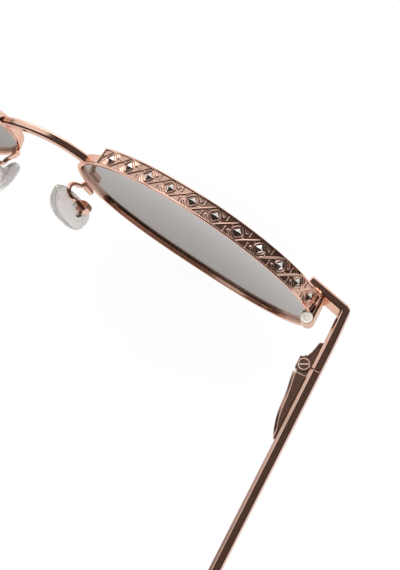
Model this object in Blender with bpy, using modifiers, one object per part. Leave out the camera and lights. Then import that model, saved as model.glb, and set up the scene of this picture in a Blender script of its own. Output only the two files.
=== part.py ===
"""Metal sunglasses with studded brow bands and spring hinges, as separate pieces.

The wearer's left half is modelled on the +X side and mirrored to the right.
The front faces -Y, the temples run back along +Y, and the rims and the
temple tips stand on the plane Z = 0. All sizes are in metres.
"""
from math import acos, asin, cos, pi, radians, sin, sqrt, tan

import bmesh
import bpy
import numpy as np
from mathutils import Matrix, Vector

# Lens opening, seen square to the lens
EYE_WIDTH = 0.0580
EYE_RISE = 0.02265
EYE_DROP = 0.02224
PEAK_SHIFT = 0.00267
TOP_NASAL_POWER = 1.92
TOP_TEMPORAL_POWER = 2.345
LOW_NASAL_POWER = 2.166
LOW_TEMPORAL_POWER = 2.148
BRIDGE_GAP = 0.0170
LENS_RADIUS = 0.260
FACE_YAW = radians(7.18)
LENS_TILT = radians(3.0)
STATION_STEP = radians(6.0)

# Seating and running clearances
FIT = 0.00005
PLAY = 0.00010

# Eyewire, the thin grooved ring round each lens
RIM_THICK = 0.0010
RIM_FRONT = 0.0010
RIM_BACK = 0.00135
RIM_CHAMFER = 0.00025
GROOVE_DEPTH = 0.0005
GROOVE_HALF = 0.0005
GROOVE_CENTRE = 0.0001
RIM_SPLIT_GAP = 0.0003

# Lens
LENS_THICK = 0.0011
LENS_BEVEL = 0.0004

# Brow band, the studded gallery over the top half of each eyewire
BAND_FIELD = 0.00040
BAND_LIP = 0.00065
LIP_WIDTH = 0.00035
BAND_FRONT = 0.00252
BAND_BACK = 0.00171
STUD_PITCH = 0.005566
STUD_COUNT = 11
LAST_STUD_BACK = 0.01116
BAND_END_MARGIN = 0.0035

# Pyramid studs in their pockets
STUD_SIDE = 0.0015
STUD_RISE = 0.00055
STUD_SINK = 0.00022

# End piece: a tall plate on the rim's front corner, bent back into a bar
END_TOP = 0.0083
PLATE_HEIGHT = 0.0073
PLATE_THICK = 0.00175
PLATE_SWEEP = radians(15.0)
PLATE_OVERLAP = 0.0036
PLATE_AHEAD = 0.0004
BAR_HEIGHT = 0.0032
BAR_WIDTH = 0.0022
BAR_EDGE = 0.00025
BAR_REACH = 0.008055
BAR_BOW = 0.0003
CORNER_R = 0.0012
SEAM_Y = 0.0168

# Closing block that clamps the split ends of the eyewire
BLOCK_TOP = 0.0070
BLOCK_HEIGHT = 0.0050
BLOCK_WEB = 0.00085
LOBE_RADIUS = 0.0014
RIM_SCREW_R = 0.0006
RIM_SCREW_HEAD_R = 0.00125
RIM_SCREW_HEAD_H = 0.0004
RIM_SCREW_RECESS_R = 0.0006
RIM_SCREW_RECESS_H = 0.00025

# Spring hinge
AXIS_INBOARD = 0.00161
AXIS_AHEAD = 0.0002
LEAF_HEIGHT = 0.0029
LEAF_LENGTH = 0.0053
EAR_HALF = 0.00143
EAR_BACK = 0.00155
KNUCKLE_THICK = 0.0011
KNUCKLE_R = 0.00115
NECK_INNER = 0.0008
NECK_OUTER = 0.0011
HINGE_SCREW_R = 0.00055
HINGE_HEAD_R = 0.00115
HINGE_HEAD_H = 0.00035
SLOT_WIDTH = 0.0003
SLOT_DEPTH = 0.0002
HOUSING_SETBACK = 0.0021
HOUSING_WIDTH = 0.00295
HOUSING_LENGTH = 0.0143
HOUSING_TAPER = 0.0011
HOUSING_TAPER_AT = 0.0083
ROD_OFFSET = 0.0005
ROD_R = 0.00035
STOP_R = 0.0006
STOP_THICK = 0.0006
CHAMBER_R = 0.0007
CHAMBER_WALL = 0.0008
SPRING_LENGTH = 0.0044
SPRING_WIRE_R = 0.00011
SPRING_TURNS = 6
FLEX_TRAVEL = 0.0012

# Temple bar, its core wire and its tip
BAR_LENGTH = 0.0810
CORE_R = 0.0006
BEND_START = 0.0900
BEND_RADIUS = 0.0220
BEND_ANGLE = radians(40.0)
TIP_WALL_END = 0.0035
TIP_FRONT_HALF = (0.00145, 0.00190)
TIP_BEND_HALF = (0.00170, 0.00270)
TIP_END_HALF = (0.00180, 0.00340)

# Nose pads
PAD_CENTRE = (0.00794, 0.00554, -0.00582)
PAD_LENGTH = 0.0145
PAD_BEHIND = 0.0044
PAD_AHEAD = 0.0024
PAD_THICK = 0.0030
PAD_SPLAY = radians(5.7)
PAD_FRONTAL = radians(25.5)
PAD_ROLL = radians(6.7)
PAD_TO_AXIS = 0.00334
PAD_BOX_WIDTH = 0.0026
PAD_BOX_HEIGHT = 0.0021
PAD_BOX_FRONT = 0.00095
PAD_BOX_BACK = 0.00175
PAD_SLOT_FLOOR = 0.00075
PAD_LUG_THICK = 0.0009
PAD_LUG_HALF = 0.0006
PAD_SCREW_R = 0.0003
PAD_SCREW_HEAD_R = 0.00075
PAD_ARM_R = 0.0005
PAD_FOOT_R = 0.00065
PAD_FOOT_LOW = -0.0098
PAD_FOOT_HIGH = -0.0062
PAD_LOOP = (
    (0.0086, 0.00065, -0.0052),
    (0.0082, 0.0013, -0.0042),
    (0.0075, 0.0017, -0.0025),
    (0.0072, 0.0025, -0.0008),
    (0.00756, 0.00384, 0.0005),
    (0.00814, 0.00466, -0.00015),
    (0.00895, 0.00504, -0.0010),
)
PAD_ARM_END = (-0.00022, 0.0004)

# Bridge between the rims
BRIDGE_Z = 0.0072
BRIDGE_ARCH = 0.0016
BRIDGE_HALF_HEIGHT = 0.0013
BRIDGE_HALF_DEPTH = 0.0009

ROUND_STEPS = 20
SMOOTH_ANGLE = radians(35.0)

# Sizes that follow from those above
BAND_OUT = RIM_THICK + FIT
BAR_OUTER_X = BRIDGE_GAP / 2 + EYE_WIDTH * cos(FACE_YAW) + BAR_REACH
BAR_INNER_X = BAR_OUTER_X - BAR_WIDTH
BAR_MID_Z = END_TOP - BAR_HEIGHT / 2
LEAF_TOP = BAR_MID_Z + LEAF_HEIGHT / 2
LEAF_LOW = BAR_MID_Z - LEAF_HEIGHT / 2
BLOCK_LOW = BLOCK_TOP - BLOCK_HEIGHT
BLOCK_MID = BLOCK_TOP - BLOCK_HEIGHT / 2
AXIS_X = BAR_INNER_X - AXIS_INBOARD
AXIS_Y = SEAM_Y - AXIS_AHEAD


def clear_scene():
    """Remove whatever the file holds, so that the script always starts empty."""
    for old in list(bpy.data.objects):
        bpy.data.objects.remove(old, do_unlink=True)


def new_collection(name, hidden=False):
    """Make a collection in the scene; cutters go in one that never renders."""
    made = bpy.data.collections.new(name)
    made.hide_render = hidden
    bpy.context.scene.collection.children.link(made)
    return made


def finish(name, colour, roughness, metallic=1.0):
    """A Principled material with the piece's colour, roughness and metallic value."""
    made = bpy.data.materials.new(name)
    made.use_nodes = True
    shader = made.node_tree.nodes["Principled BSDF"]
    shader.inputs["Base Color"].default_value = (*colour, 1.0)
    shader.inputs["Roughness"].default_value = roughness
    shader.inputs["Metallic"].default_value = metallic
    made.diffuse_color = (*colour, 1.0)
    return made


def empty(name, place, parent):
    """An empty that carries pieces: its origin is a pivot or a reference frame."""
    made = bpy.data.objects.new(name, None)
    made.empty_display_size = 0.004
    bpy.context.scene.collection.objects.link(made)
    made.parent = parent
    made.matrix_basis = place
    return made


def piece(name, mesh, material, carrier, place=Matrix.Identity(4)):
    """Put a mesh in the collection as one named sub-part, shaded smooth."""
    mesh.materials.clear()
    mesh.materials.append(material)
    mesh.shade_smooth()
    mesh.set_sharp_from_angle(angle=SMOOTH_ANGLE)
    made = bpy.data.objects.new(name, mesh)
    PIECES.objects.link(made)
    made.parent = carrier
    made.matrix_basis = place
    return made


def combine(target, mesh, operation="DIFFERENCE", place=Matrix.Identity(4)):
    """Cut a mesh from a piece, or join it on, with Blender's exact solver."""
    tool = bpy.data.objects.new(mesh.name, mesh)
    tool.hide_render = True
    tool.display_type = "WIRE"
    CUTTERS.objects.link(tool)
    tool.parent = target.parent
    tool.matrix_basis = target.matrix_basis @ place
    step = target.modifiers.new(mesh.name, "BOOLEAN")
    step.operation = operation
    step.solver = "EXACT"
    step.object = tool


def bevel(target, width):
    """Round a piece's sharp edges."""
    step = target.modifiers.new("rounded_edges", "BEVEL")
    step.width = width
    step.segments = 2
    step.limit_method = "ANGLE"
    step.angle_limit = SMOOTH_ANGLE


def tidy(mesh, distance=1e-7):
    """Merge doubled vertices and point every face outwards."""
    work = bmesh.new()
    work.from_mesh(mesh)
    bmesh.ops.remove_doubles(work, verts=work.verts, dist=distance)
    bmesh.ops.recalc_face_normals(work, faces=work.faces)
    work.to_mesh(mesh)
    work.free()
    return mesh


def add_points(curve, points):
    """A straight-sided spline through the points."""
    spline = curve.splines.new("POLY")
    spline.points.add(len(points) - 1)
    for point, place in zip(spline.points, points):
        point.co = (*place, 1.0)
    return spline


def meshed(curve):
    """A curve's surface as a closed mesh."""
    drawn = bpy.data.objects.new(curve.name, curve)
    bpy.context.scene.collection.objects.link(drawn)
    graph = bpy.context.evaluated_depsgraph_get()
    mesh = bpy.data.meshes.new_from_object(drawn.evaluated_get(graph))
    mesh.name = curve.name
    bpy.data.objects.remove(drawn, do_unlink=True)
    return tidy(mesh)


def plate(name, plan, low, high):
    """A plan (x, y), filled by a 2D curve and extruded from low to high."""
    curve = bpy.data.curves.new(name, "CURVE")
    curve.dimensions = "2D"
    curve.fill_mode = "BOTH"
    curve.extrude = (high - low) / 2
    add_points(curve, [(x, y, 0.0) for x, y in plan]).use_cyclic_u = True
    mesh = meshed(curve)
    mesh.transform(Matrix.Translation((0.0, 0.0, (low + high) / 2)))
    return mesh


def turned(name, profile, steps=ROUND_STEPS):
    """A profile of (radius, height) points spun once round the Z axis."""
    work = bmesh.new()
    points = [work.verts.new((radius, 0.0, height)) for radius, height in profile]
    edges = [work.edges.new(pair) for pair in zip(points, points[1:])]
    bmesh.ops.spin(
        work, geom=points + edges, angle=2 * pi, steps=steps,
        axis=(0, 0, 1), cent=(0, 0, 0), use_merge=True)
    mesh = bpy.data.meshes.new(name)
    work.to_mesh(mesh)
    work.free()
    return tidy(mesh)


def rod(name, radius, low, high, steps=ROUND_STEPS):
    """A plain cylinder on the Z axis."""
    return turned(name, [(0, high), (radius, high), (radius, low), (0, low)], steps)


def block(name, low, high):
    """A box between two corners."""
    work = bmesh.new()
    bmesh.ops.create_cube(work, size=1.0)
    size = Vector(high) - Vector(low)
    middle = (Vector(high) + Vector(low)) / 2
    stretch = Matrix.Translation(middle) @ Matrix.Diagonal((*size, 1.0))
    bmesh.ops.transform(work, verts=work.verts, matrix=stretch)
    mesh = bpy.data.meshes.new(name)
    work.to_mesh(mesh)
    work.free()
    return mesh


def loft(name, rings, closed=False):
    """Skin a row of rings with equal counts of points, for which Blender has no tool.

    An open loft is capped; a ring whose points all meet becomes a pole.
    """
    rings = np.asarray(rings, dtype=float)
    count, size = rings.shape[:2]
    here = np.arange(count if closed else count - 1)[:, None] * size
    after = (here + size) % (count * size)
    side = np.arange(size)[None, :]
    beside = (side + 1) % size
    faces = np.stack([here + side, here + beside, after + beside, after + side], axis=-1)
    faces = faces.reshape(-1, 4).tolist()
    if not closed:
        faces.append(list(range(size)))
        faces.append(list(range((count - 1) * size, count * size)))
    mesh = bpy.data.meshes.new(name)
    mesh.from_pydata(rings.reshape(-1, 3).tolist(), [], faces)
    return tidy(mesh)


def gathered(name, meshes_and_places):
    """Several meshes as one, for a cutter that repeats."""
    work = bmesh.new()
    for mesh, place in meshes_and_places:
        copy = mesh.copy()
        copy.transform(place)
        work.from_mesh(copy)
        bpy.data.meshes.remove(copy)
    joined = bpy.data.meshes.new(name)
    work.to_mesh(joined)
    work.free()
    return joined


def wire(name, points, radius, material, carrier, roundness=2, swell=()):
    """A round wire with filled caps along a row of points; swell thickens its first points."""
    curve = bpy.data.curves.new(name, "CURVE")
    curve.dimensions = "3D"
    curve.bevel_depth = radius
    curve.bevel_resolution = roundness
    curve.use_fill_caps = True
    spline = add_points(curve, points)
    for point, factor in zip(spline.points, swell):
        point.radius = factor
    return piece(name, meshed(curve), material, carrier)


def smooth_route(points, between):
    """Points along a Catmull-Rom curve through the given points."""
    points = np.asarray(points, dtype=float)
    padded = np.vstack([2 * points[0] - points[1], points, 2 * points[-1] - points[-2]])
    t = (np.arange(between) / between)[:, None]
    route = []
    for first, start, end, last in zip(padded, padded[1:], padded[2:], padded[3:]):
        bend = 2 * first - 5 * start + 4 * end - last
        twist = 3 * start - first - 3 * end + last
        route.append(0.5 * (2 * start + (end - first) * t + bend * t ** 2 + twist * t ** 3))
    return np.vstack(route + [points[-1:]])


def arc(centre, radius, start, end, count=9):
    """Points (x, y) along an arc from one angle to another, in degrees."""
    angles = np.radians(np.linspace(start, end, count))
    return [(centre[0] + radius * cos(a), centre[1] + radius * sin(a)) for a in angles]


def outline(angle):
    """The lens opening at an angle, as quarters of superellipses: u temporal, v up."""
    c, s = np.cos(angle), np.sin(angle)
    top, nasal = s >= 0, c < 0
    top_power = np.where(nasal, TOP_NASAL_POWER, TOP_TEMPORAL_POWER)
    low_power = np.where(nasal, LOW_NASAL_POWER, LOW_TEMPORAL_POWER)
    power = np.where(top, top_power, low_power)
    shift = np.where(top, PEAK_SHIFT, 0.0)
    reach = EYE_WIDTH / 2 + np.where(nasal, shift, -shift)
    rise = np.where(top, EYE_RISE, EYE_DROP)
    u = np.sign(c) * np.abs(c) ** (2 / power) * reach + shift
    v = np.sign(s) * np.abs(s) ** (2 / power) * rise
    return np.stack([u, v], axis=-1)


def outward(angle):
    """The direction square to the opening's edge, in the lens plane."""
    step = radians(0.5)
    along = outline(angle + step) - outline(angle - step)
    along = along / np.linalg.norm(along, axis=-1, keepdims=True)
    return np.stack([along[..., 1], -along[..., 0]], axis=-1)


def sag(u, v):
    """How far the lens curve falls back from its centre at (u, v)."""
    return LENS_RADIUS - np.sqrt(LENS_RADIUS ** 2 - u ** 2 - v ** 2)


def rim_point(angle, out, forward):
    """A point out from the opening's edge and forward of the lens curve."""
    edge = outline(angle)
    fall = sag(edge[..., 0], edge[..., 1])
    flat = edge + outward(angle) * out
    return np.stack([flat[..., 0], flat[..., 1], forward - fall], axis=-1)


def stations(start, end):
    """Angles between two ends, shared so that nested pieces have like facets."""
    first = np.ceil(start / STATION_STEP + 0.2)
    last = np.floor(end / STATION_STEP - 0.2)
    return np.concatenate([[start], np.arange(first, last + 1) * STATION_STEP, [end]])


def rim_rings(angles, section):
    """Rings of a section of (out, forward) points carried along the opening's edge."""
    return np.stack([rim_point(angles, out, forward) for out, forward in section], axis=1)


def top_arc():
    """Angles over the opening's top half, and how far along the band each one lies."""
    angles = np.linspace(pi, 0.0, 1201)
    edge = rim_point(angles, BAND_OUT + BAND_FIELD, 0.0)
    steps = np.linalg.norm(np.diff(edge, axis=0), axis=1)
    return angles, np.concatenate([[0.0], np.cumsum(steps)])


def angle_at(distance):
    """The angle on the top half at a distance along the band from the nasal end."""
    angles, reached = top_arc()
    return float(np.interp(distance, reached, angles))


def angle_at_height(height):
    """The angle at which the opening's temporal edge stands at a height."""
    return asin((height / cos(LENS_TILT) / EYE_RISE) ** (TOP_TEMPORAL_POWER / 2))


clear_scene()
PIECES = new_collection("sunglasses")
CUTTERS = new_collection("cutters", hidden=True)
ROSE_GOLD = finish("rose_gold", (0.78, 0.46, 0.35), 0.16)
DARK_STEEL = finish("dark_steel", (0.16, 0.15, 0.15), 0.12)
BRIGHT_STEEL = finish("bright_steel", (0.80, 0.76, 0.72), 0.18)
TINTED_LENS = finish("tinted_lens", (0.16, 0.15, 0.15), 0.05, metallic=0.0)
SILICONE = finish("silicone", (0.84, 0.80, 0.77), 0.35, metallic=0.0)
ACETATE = finish("acetate", (0.10, 0.045, 0.03), 0.22, metallic=0.0)

LENS_CENTRE = Vector((BRIDGE_GAP / 2 + EYE_WIDTH / 2 * cos(FACE_YAW), 0.0, 0.0))
LENS_TURN = Matrix.Rotation(FACE_YAW, 4, "Z") @ Matrix.Rotation(pi / 2 + LENS_TILT, 4, "X")
LENS_PLANE = Matrix.Translation(LENS_CENTRE) @ LENS_TURN

ORIGIN = empty("origin", Matrix.Identity(4), None)
LENS_FRAME = empty("lens_plane_left", LENS_PLANE, ORIGIN)
FOLD_AXIS = empty("fold_axis_left", Matrix.Translation((AXIS_X, AXIS_Y, BAR_MID_Z)), ORIGIN)


def rim_world(angle, out, forward):
    """A point beside the rim in the frame's own coordinates."""
    return LENS_PLANE @ Vector(rim_point(np.float64(angle), out, forward))


LAST_STUD_ARC = top_arc()[1][-1] - LAST_STUD_BACK
FIRST_STUD_ARC = LAST_STUD_ARC - (STUD_COUNT - 1) * STUD_PITCH
BAND_START = angle_at(FIRST_STUD_ARC - BAND_END_MARGIN)
BAND_STOP = angle_at(LAST_STUD_ARC + BAND_END_MARGIN)
SPLIT_ANGLE = angle_at_height(BLOCK_MID)


def build_eyewire():
    """The grooved ring, open by a small gap where the closing block clamps it."""
    section = [
        (0.0, RIM_FRONT),
        (RIM_THICK - RIM_CHAMFER, RIM_FRONT),
        (RIM_THICK, RIM_FRONT - RIM_CHAMFER),
        (RIM_THICK, RIM_CHAMFER - RIM_BACK),
        (RIM_THICK - RIM_CHAMFER, -RIM_BACK),
        (0.0, -RIM_BACK),
        (0.0, GROOVE_CENTRE - GROOVE_HALF),
        (GROOVE_DEPTH, GROOVE_CENTRE),
        (0.0, GROOVE_CENTRE + GROOVE_HALF),
    ]
    half_gap = RIM_SPLIT_GAP / EYE_WIDTH
    angles = stations(SPLIT_ANGLE + half_gap, SPLIT_ANGLE - half_gap + 2 * pi)
    mesh = loft("eyewire", rim_rings(angles, section))
    return piece("eyewire_left", mesh, ROSE_GOLD, LENS_FRAME)


def build_lens():
    """The curved lens, with a bevelled edge that sits in the eyewire's groove."""
    angles = np.arange(0.0, 2 * pi - 1e-9, STATION_STEP)
    front = []
    for share in (0.0, 0.4, 0.75):
        u, v = (outline(angles) * share).T
        front.append(np.stack([u, v, LENS_THICK / 2 - sag(u, v)], axis=-1))
    back = [ring - (0.0, 0.0, LENS_THICK) for ring in reversed(front)]
    shoulder = LENS_BEVEL + FIT
    edge = [
        rim_point(angles, out, forward)
        for out, forward in (
            (-FIT, LENS_THICK / 2), (-FIT, shoulder), (LENS_BEVEL, 0.0),
            (-FIT, -shoulder), (-FIT, -LENS_THICK / 2))]
    mesh = loft("lens", front + edge + back)
    mesh.transform(Matrix.Translation((0.0, 0.0, GROOVE_CENTRE)))
    return piece("lens_left", mesh, TINTED_LENS, LENS_FRAME)


def stud_place(number, out):
    """The frame of one stud: z outward from the rim, x along the band."""
    angle = np.float64(angle_at(FIRST_STUD_ARC + number * STUD_PITCH))
    middle = (BAND_FRONT - BAND_BACK) / 2
    away = Vector((*outward(angle), 0.0))
    ahead = Vector((0.0, 0.0, 1.0))
    along = ahead.cross(away)
    turn = Matrix((along, away.cross(along), away)).transposed().to_4x4()
    return Matrix.Translation(rim_point(angle, out, middle)) @ turn


def build_brow_band():
    """A lipped channel over the eyewire's top half, with a square pocket for each stud."""
    top, lip = BAND_OUT + BAND_FIELD, BAND_OUT + BAND_LIP
    section = [
        (BAND_OUT, -BAND_BACK),
        (lip, -BAND_BACK),
        (lip, LIP_WIDTH - BAND_BACK),
        (top, LIP_WIDTH * 1.3 - BAND_BACK),
        (top, BAND_FRONT - LIP_WIDTH * 1.3),
        (lip, BAND_FRONT - LIP_WIDTH),
        (lip, BAND_FRONT),
        (BAND_OUT, BAND_FRONT),
    ]
    mesh = loft("brow_band", rim_rings(stations(BAND_STOP, BAND_START), section))
    band = piece("brow_band_left", mesh, ROSE_GOLD, LENS_FRAME)
    pocket = rod("pocket", STUD_SIDE / sqrt(2) + FIT, -FIT, STUD_SINK + BAND_LIP, steps=4)
    places = [(pocket, stud_place(n, top - STUD_SINK)) for n in range(STUD_COUNT)]
    combine(band, gathered("pockets", places))
    return band


def build_studs():
    """Four-sided pyramids on square feet, one in each pocket."""
    corner = STUD_SIDE / sqrt(2)
    profile = [(0, STUD_SINK + STUD_RISE), (corner, STUD_SINK), (corner, 0), (0, 0)]
    mesh = turned("stud", profile, steps=4)
    made = []
    for number in range(STUD_COUNT):
        place = stud_place(number, BAND_OUT + BAND_FIELD - STUD_SINK)
        made.append(piece(f"stud_{number + 1:02d}_left", mesh.copy(), DARK_STEEL,
                          LENS_FRAME, place))
    return made


PLATE_ALONG = Vector((cos(PLATE_SWEEP), sin(PLATE_SWEEP)))
PLATE_SQUARE = Vector((-sin(PLATE_SWEEP), cos(PLATE_SWEEP)))


def plate_seat():
    """Where the back of the end piece's plate stands, just ahead of the band's end."""
    edge = [
        rim_world(angle, BAND_OUT + out, BAND_FRONT).xy
        for angle in np.linspace(BAND_STOP, angle_at_height(END_TOP), 5)
        for out in (0.0, BAND_LIP)]
    return min(edge, key=PLATE_SQUARE.dot) - PLATE_SQUARE * PLATE_AHEAD


def end_plate_outline():
    """The plan of the end piece: a swept plate, a rounded corner and a bowed bar."""
    slope = tan(PLATE_SWEEP)
    turn, square = PLATE_ALONG, PLATE_SQUARE
    back_start = plate_seat() - turn * PLATE_OVERLAP
    front_start = back_start - square * PLATE_THICK
    corner_out = BAR_OUTER_X - BAR_BOW
    centre_x = corner_out - CORNER_R
    front_at = front_start.y + (centre_x - front_start.x) * slope
    centre = (centre_x, front_at + CORNER_R / cos(PLATE_SWEEP))
    sweep = np.degrees(PLATE_SWEEP)
    seam = SEAM_Y - FIT / 2
    straight = AXIS_Y - LEAF_LENGTH - PLAY
    middle = (centre[1] + straight) / 2
    bulge = corner_out + BAR_BOW * 0.6
    corner_in = corner_out - BAR_WIDTH
    fillet = PLATE_THICK * 0.5
    inner_y = back_start.y + (corner_in - back_start.x) * slope
    return (
        [tuple(front_start + square * PLATE_THICK * 0.3)]
        + [tuple(front_start + turn * PLATE_THICK * 0.3)]
        + arc(centre, CORNER_R, sweep - 90, 0, 6)
        + [(bulge, middle), (BAR_OUTER_X, straight), (BAR_OUTER_X, seam)]
        + [(BAR_INNER_X, seam), (BAR_INNER_X, straight), (bulge - BAR_WIDTH, middle)]
        + [(corner_in, inner_y + fillet), (corner_in - fillet, inner_y - fillet * slope)]
        + [tuple(back_start)])


def build_end_piece():
    """The tall front plate and its bar, cut from one thick plan outline."""
    plan = end_plate_outline()
    mesh = plate("end_piece", plan, END_TOP - PLATE_HEIGHT, END_TOP)
    made = piece("end_piece_left", mesh, ROSE_GOLD, ORIGIN)
    low = END_TOP - PLATE_HEIGHT
    under = END_TOP - BAR_HEIGHT
    clear = BAR_WIDTH
    inner_x = BAR_OUTER_X - BAR_BOW - BAR_WIDTH
    plate_back = max(y for x, y in plan if x < inner_x) + PLATE_THICK * 0.3
    combine(made, block(
        "under_the_bar",
        (inner_x - clear, plate_back, low - clear),
        (BAR_OUTER_X + clear, SEAM_Y + clear, under)))
    run, climb = BAR_WIDTH + PLAY, under - low
    corner = [
        (inner_x - run, low - climb),
        (inner_x + run * 2, low - climb),
        (inner_x + run * 2, low + climb * 2),
    ]
    below = plate("below_the_corner", corner, -plate_back - BAR_EDGE, SEAM_Y)
    below.transform(Matrix.Rotation(pi / 2, 4, "X"))
    combine(made, below)
    bevel(made, BAR_EDGE)
    return made


def block_plan():
    """The plan of a closing block: a web outside the rim and a lobe behind it."""
    heights = (angle_at_height(BLOCK_LOW), angle_at_height(BLOCK_TOP))
    web_in = max(rim_world(a, RIM_THICK, RIM_FRONT).x for a in heights)
    web_out = web_in + BLOCK_WEB
    lobe_front = max(rim_world(a, RIM_THICK, -RIM_BACK).y for a in heights)
    lobe = (web_out - LOBE_RADIUS, lobe_front + LOBE_RADIUS * 0.7)
    web_in, lobe_front = web_in - RIM_CHAMFER, lobe_front - RIM_CHAMFER
    web_mid = (web_in + web_out) / 2
    seat = plate_seat()
    plate_y = seat.y + (web_mid - seat.x) * tan(PLATE_SWEEP)
    front = plate_y + (web_mid - web_in + FIT) / cos(PLATE_SWEEP)
    return lobe, (
        arc((web_mid, front), web_mid - web_in, 180, 360, 7)
        + arc(lobe, LOBE_RADIUS, 0, 180, 11)
        + [(lobe[0] - LOBE_RADIUS, lobe_front), (web_in, lobe_front)])


def build_closing_block():
    """The upper and lower halves of the block and the screw that closes them."""
    lobe, plan = block_plan()
    split = PLAY / 2
    upper = plate("closing_block_upper", plan, BLOCK_MID + split, BLOCK_TOP)
    lower = plate("closing_block_lower", plan, BLOCK_LOW, BLOCK_MID - split)
    place = Matrix.Translation((*lobe, 0.0))
    made = [
        piece("closing_block_upper_left", upper, ROSE_GOLD, ORIGIN),
        piece("closing_block_lower_left", lower, ROSE_GOLD, ORIGIN),
    ]
    end = BLOCK_LOW + RIM_SCREW_R
    bore = rod("rim_screw_bore", RIM_SCREW_R + FIT, end - FIT, BLOCK_TOP + BLOCK_HEIGHT)
    below, above = stations(-pi / 6, SPLIT_ANGLE), stations(SPLIT_ANGLE, pi / 6)
    for half in made:
        combine(half, rim_seat(np.concatenate([below, above[1:]])))
        combine(half, bore, place=place)
    seat = BLOCK_TOP + FIT
    head = seat + RIM_SCREW_HEAD_H
    floor = head - RIM_SCREW_RECESS_H
    screw = turned("rim_screw", [
        (0, floor), (RIM_SCREW_RECESS_R, floor), (RIM_SCREW_RECESS_R, head),
        (RIM_SCREW_HEAD_R * 0.85, head), (RIM_SCREW_HEAD_R, head - RIM_SCREW_HEAD_H * 0.4),
        (RIM_SCREW_HEAD_R, seat), (RIM_SCREW_R, seat), (RIM_SCREW_R, end), (0, end)])
    made.append(piece("rim_screw_left", screw, BRIGHT_STEEL, ORIGIN, place))
    return made


def on_axis(points):
    """Plan points measured from the fold axis, in the frame's coordinates."""
    return [(AXIS_X + x, AXIS_Y + y) for x, y in points]


def knuckle_sweep():
    """The plan that the knuckle and its neck sweep as the temple folds."""
    radius, reach = KNUCKLE_R + PLAY, EAR_HALF * 3
    low, side = NECK_INNER + PLAY, NECK_OUTER + PLAY
    start = np.degrees(pi + asin(low / radius))
    end = np.degrees(2 * pi + acos(side / radius))
    return (
        [(-reach, -low)] + arc((0, 0), radius, start, end, 16)
        + [(side, reach), (-reach, reach)])


def build_hinge_leaf():
    """The forked leaf on the end piece: two ears with a slot for the knuckle."""
    inner = AXIS_INBOARD - FIT
    shoulder = -EAR_HALF * 0.9
    plan = on_axis([
        (inner, -LEAF_LENGTH),
        (inner - EAR_HALF * 0.6, -LEAF_LENGTH * 0.96),
        (EAR_HALF * 0.35, shoulder - EAR_HALF * 0.75),
        (-EAR_HALF * 0.2, shoulder - EAR_HALF * 0.1),
        (-EAR_HALF * 0.85, shoulder),
        (-EAR_HALF, shoulder + EAR_HALF * 0.15),
        (-EAR_HALF, EAR_BACK * 0.6),
        (-EAR_HALF * 0.7, EAR_BACK),
        *arc((0, 0), EAR_BACK, 90, 24, 6),
        (inner, AXIS_AHEAD - PLAY),
    ])
    leaf = piece(
        "hinge_leaf_left", plate("hinge_leaf", plan, LEAF_LOW, LEAF_TOP), ROSE_GOLD, ORIGIN)
    half = KNUCKLE_THICK / 2 + FIT
    axle = Matrix.Translation((AXIS_X, AXIS_Y, BAR_MID_Z))
    combine(leaf, plate("knuckle_slot", knuckle_sweep(), -half, half), place=axle)
    bore = turned("hinge_screw_bore", [
        (0, LEAF_TOP + HINGE_HEAD_H), (HINGE_HEAD_R + PLAY, LEAF_TOP + HINGE_HEAD_H),
        (HINGE_HEAD_R + PLAY, LEAF_TOP - HINGE_HEAD_H - FIT),
        (HINGE_SCREW_R + FIT, LEAF_TOP - HINGE_HEAD_H - FIT),
        (HINGE_SCREW_R + FIT, LEAF_LOW - HINGE_HEAD_H), (0, LEAF_LOW - HINGE_HEAD_H)])
    combine(leaf, bore, place=Matrix.Translation((AXIS_X, AXIS_Y, 0.0)))
    return leaf


def build_hinge_screw():
    """The slotted pivot screw, sunk in the upper ear."""
    top, seat, end = LEAF_TOP, LEAF_TOP - HINGE_HEAD_H, LEAF_LOW + FIT
    profile = [
        (0, top), (HINGE_HEAD_R, top), (HINGE_HEAD_R, seat),
        (HINGE_SCREW_R, seat), (HINGE_SCREW_R, end), (0, end)]
    screw = piece(
        "hinge_screw_left", turned("hinge_screw", profile), BRIGHT_STEEL, ORIGIN,
        Matrix.Translation((AXIS_X, AXIS_Y, 0.0)))
    reach = HINGE_HEAD_R * 1.2
    combine(screw, block(
        "driver_slot", (-reach, -SLOT_WIDTH / 2, top - SLOT_DEPTH),
        (reach, SLOT_WIDTH / 2, top + SLOT_DEPTH)))
    return screw


def along_y(x, y):
    """A place whose Z axis points back along the temple, measured from the fold axis."""
    return Matrix.Translation((x, y, 0.0)) @ Matrix.Rotation(-pi / 2, 4, "X")


STOP_START = HOUSING_SETBACK + CHAMBER_WALL + SPRING_LENGTH + PLAY
CHAMBER_END = STOP_START + STOP_THICK + PLAY * 2


def build_slider():
    """The knuckle between the ears, with a sprung rod that runs into the housing."""
    neck = HOUSING_SETBACK - PLAY / 2
    plan = (
        arc((0, 0), KNUCKLE_R, 45, -230, 20)
        + [(-NECK_INNER, neck), (NECK_OUTER, neck), (NECK_OUTER, KNUCKLE_R)])
    half = KNUCKLE_THICK / 2
    slider = piece("hinge_slider_left", plate("hinge_slider", plan, -half, half),
                   BRIGHT_STEEL, FOLD_AXIS)
    spindle = turned("slider_rod", [
        (0, STOP_START + STOP_THICK), (STOP_R, STOP_START + STOP_THICK),
        (STOP_R, STOP_START), (ROD_R, STOP_START), (ROD_R, neck - ROD_R), (0, neck - ROD_R)])
    combine(slider, spindle, "UNION", along_y(ROD_OFFSET, 0.0))
    combine(slider, rod("pivot_bore", HINGE_SCREW_R + FIT, -half * 2, half * 2))
    return slider


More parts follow.
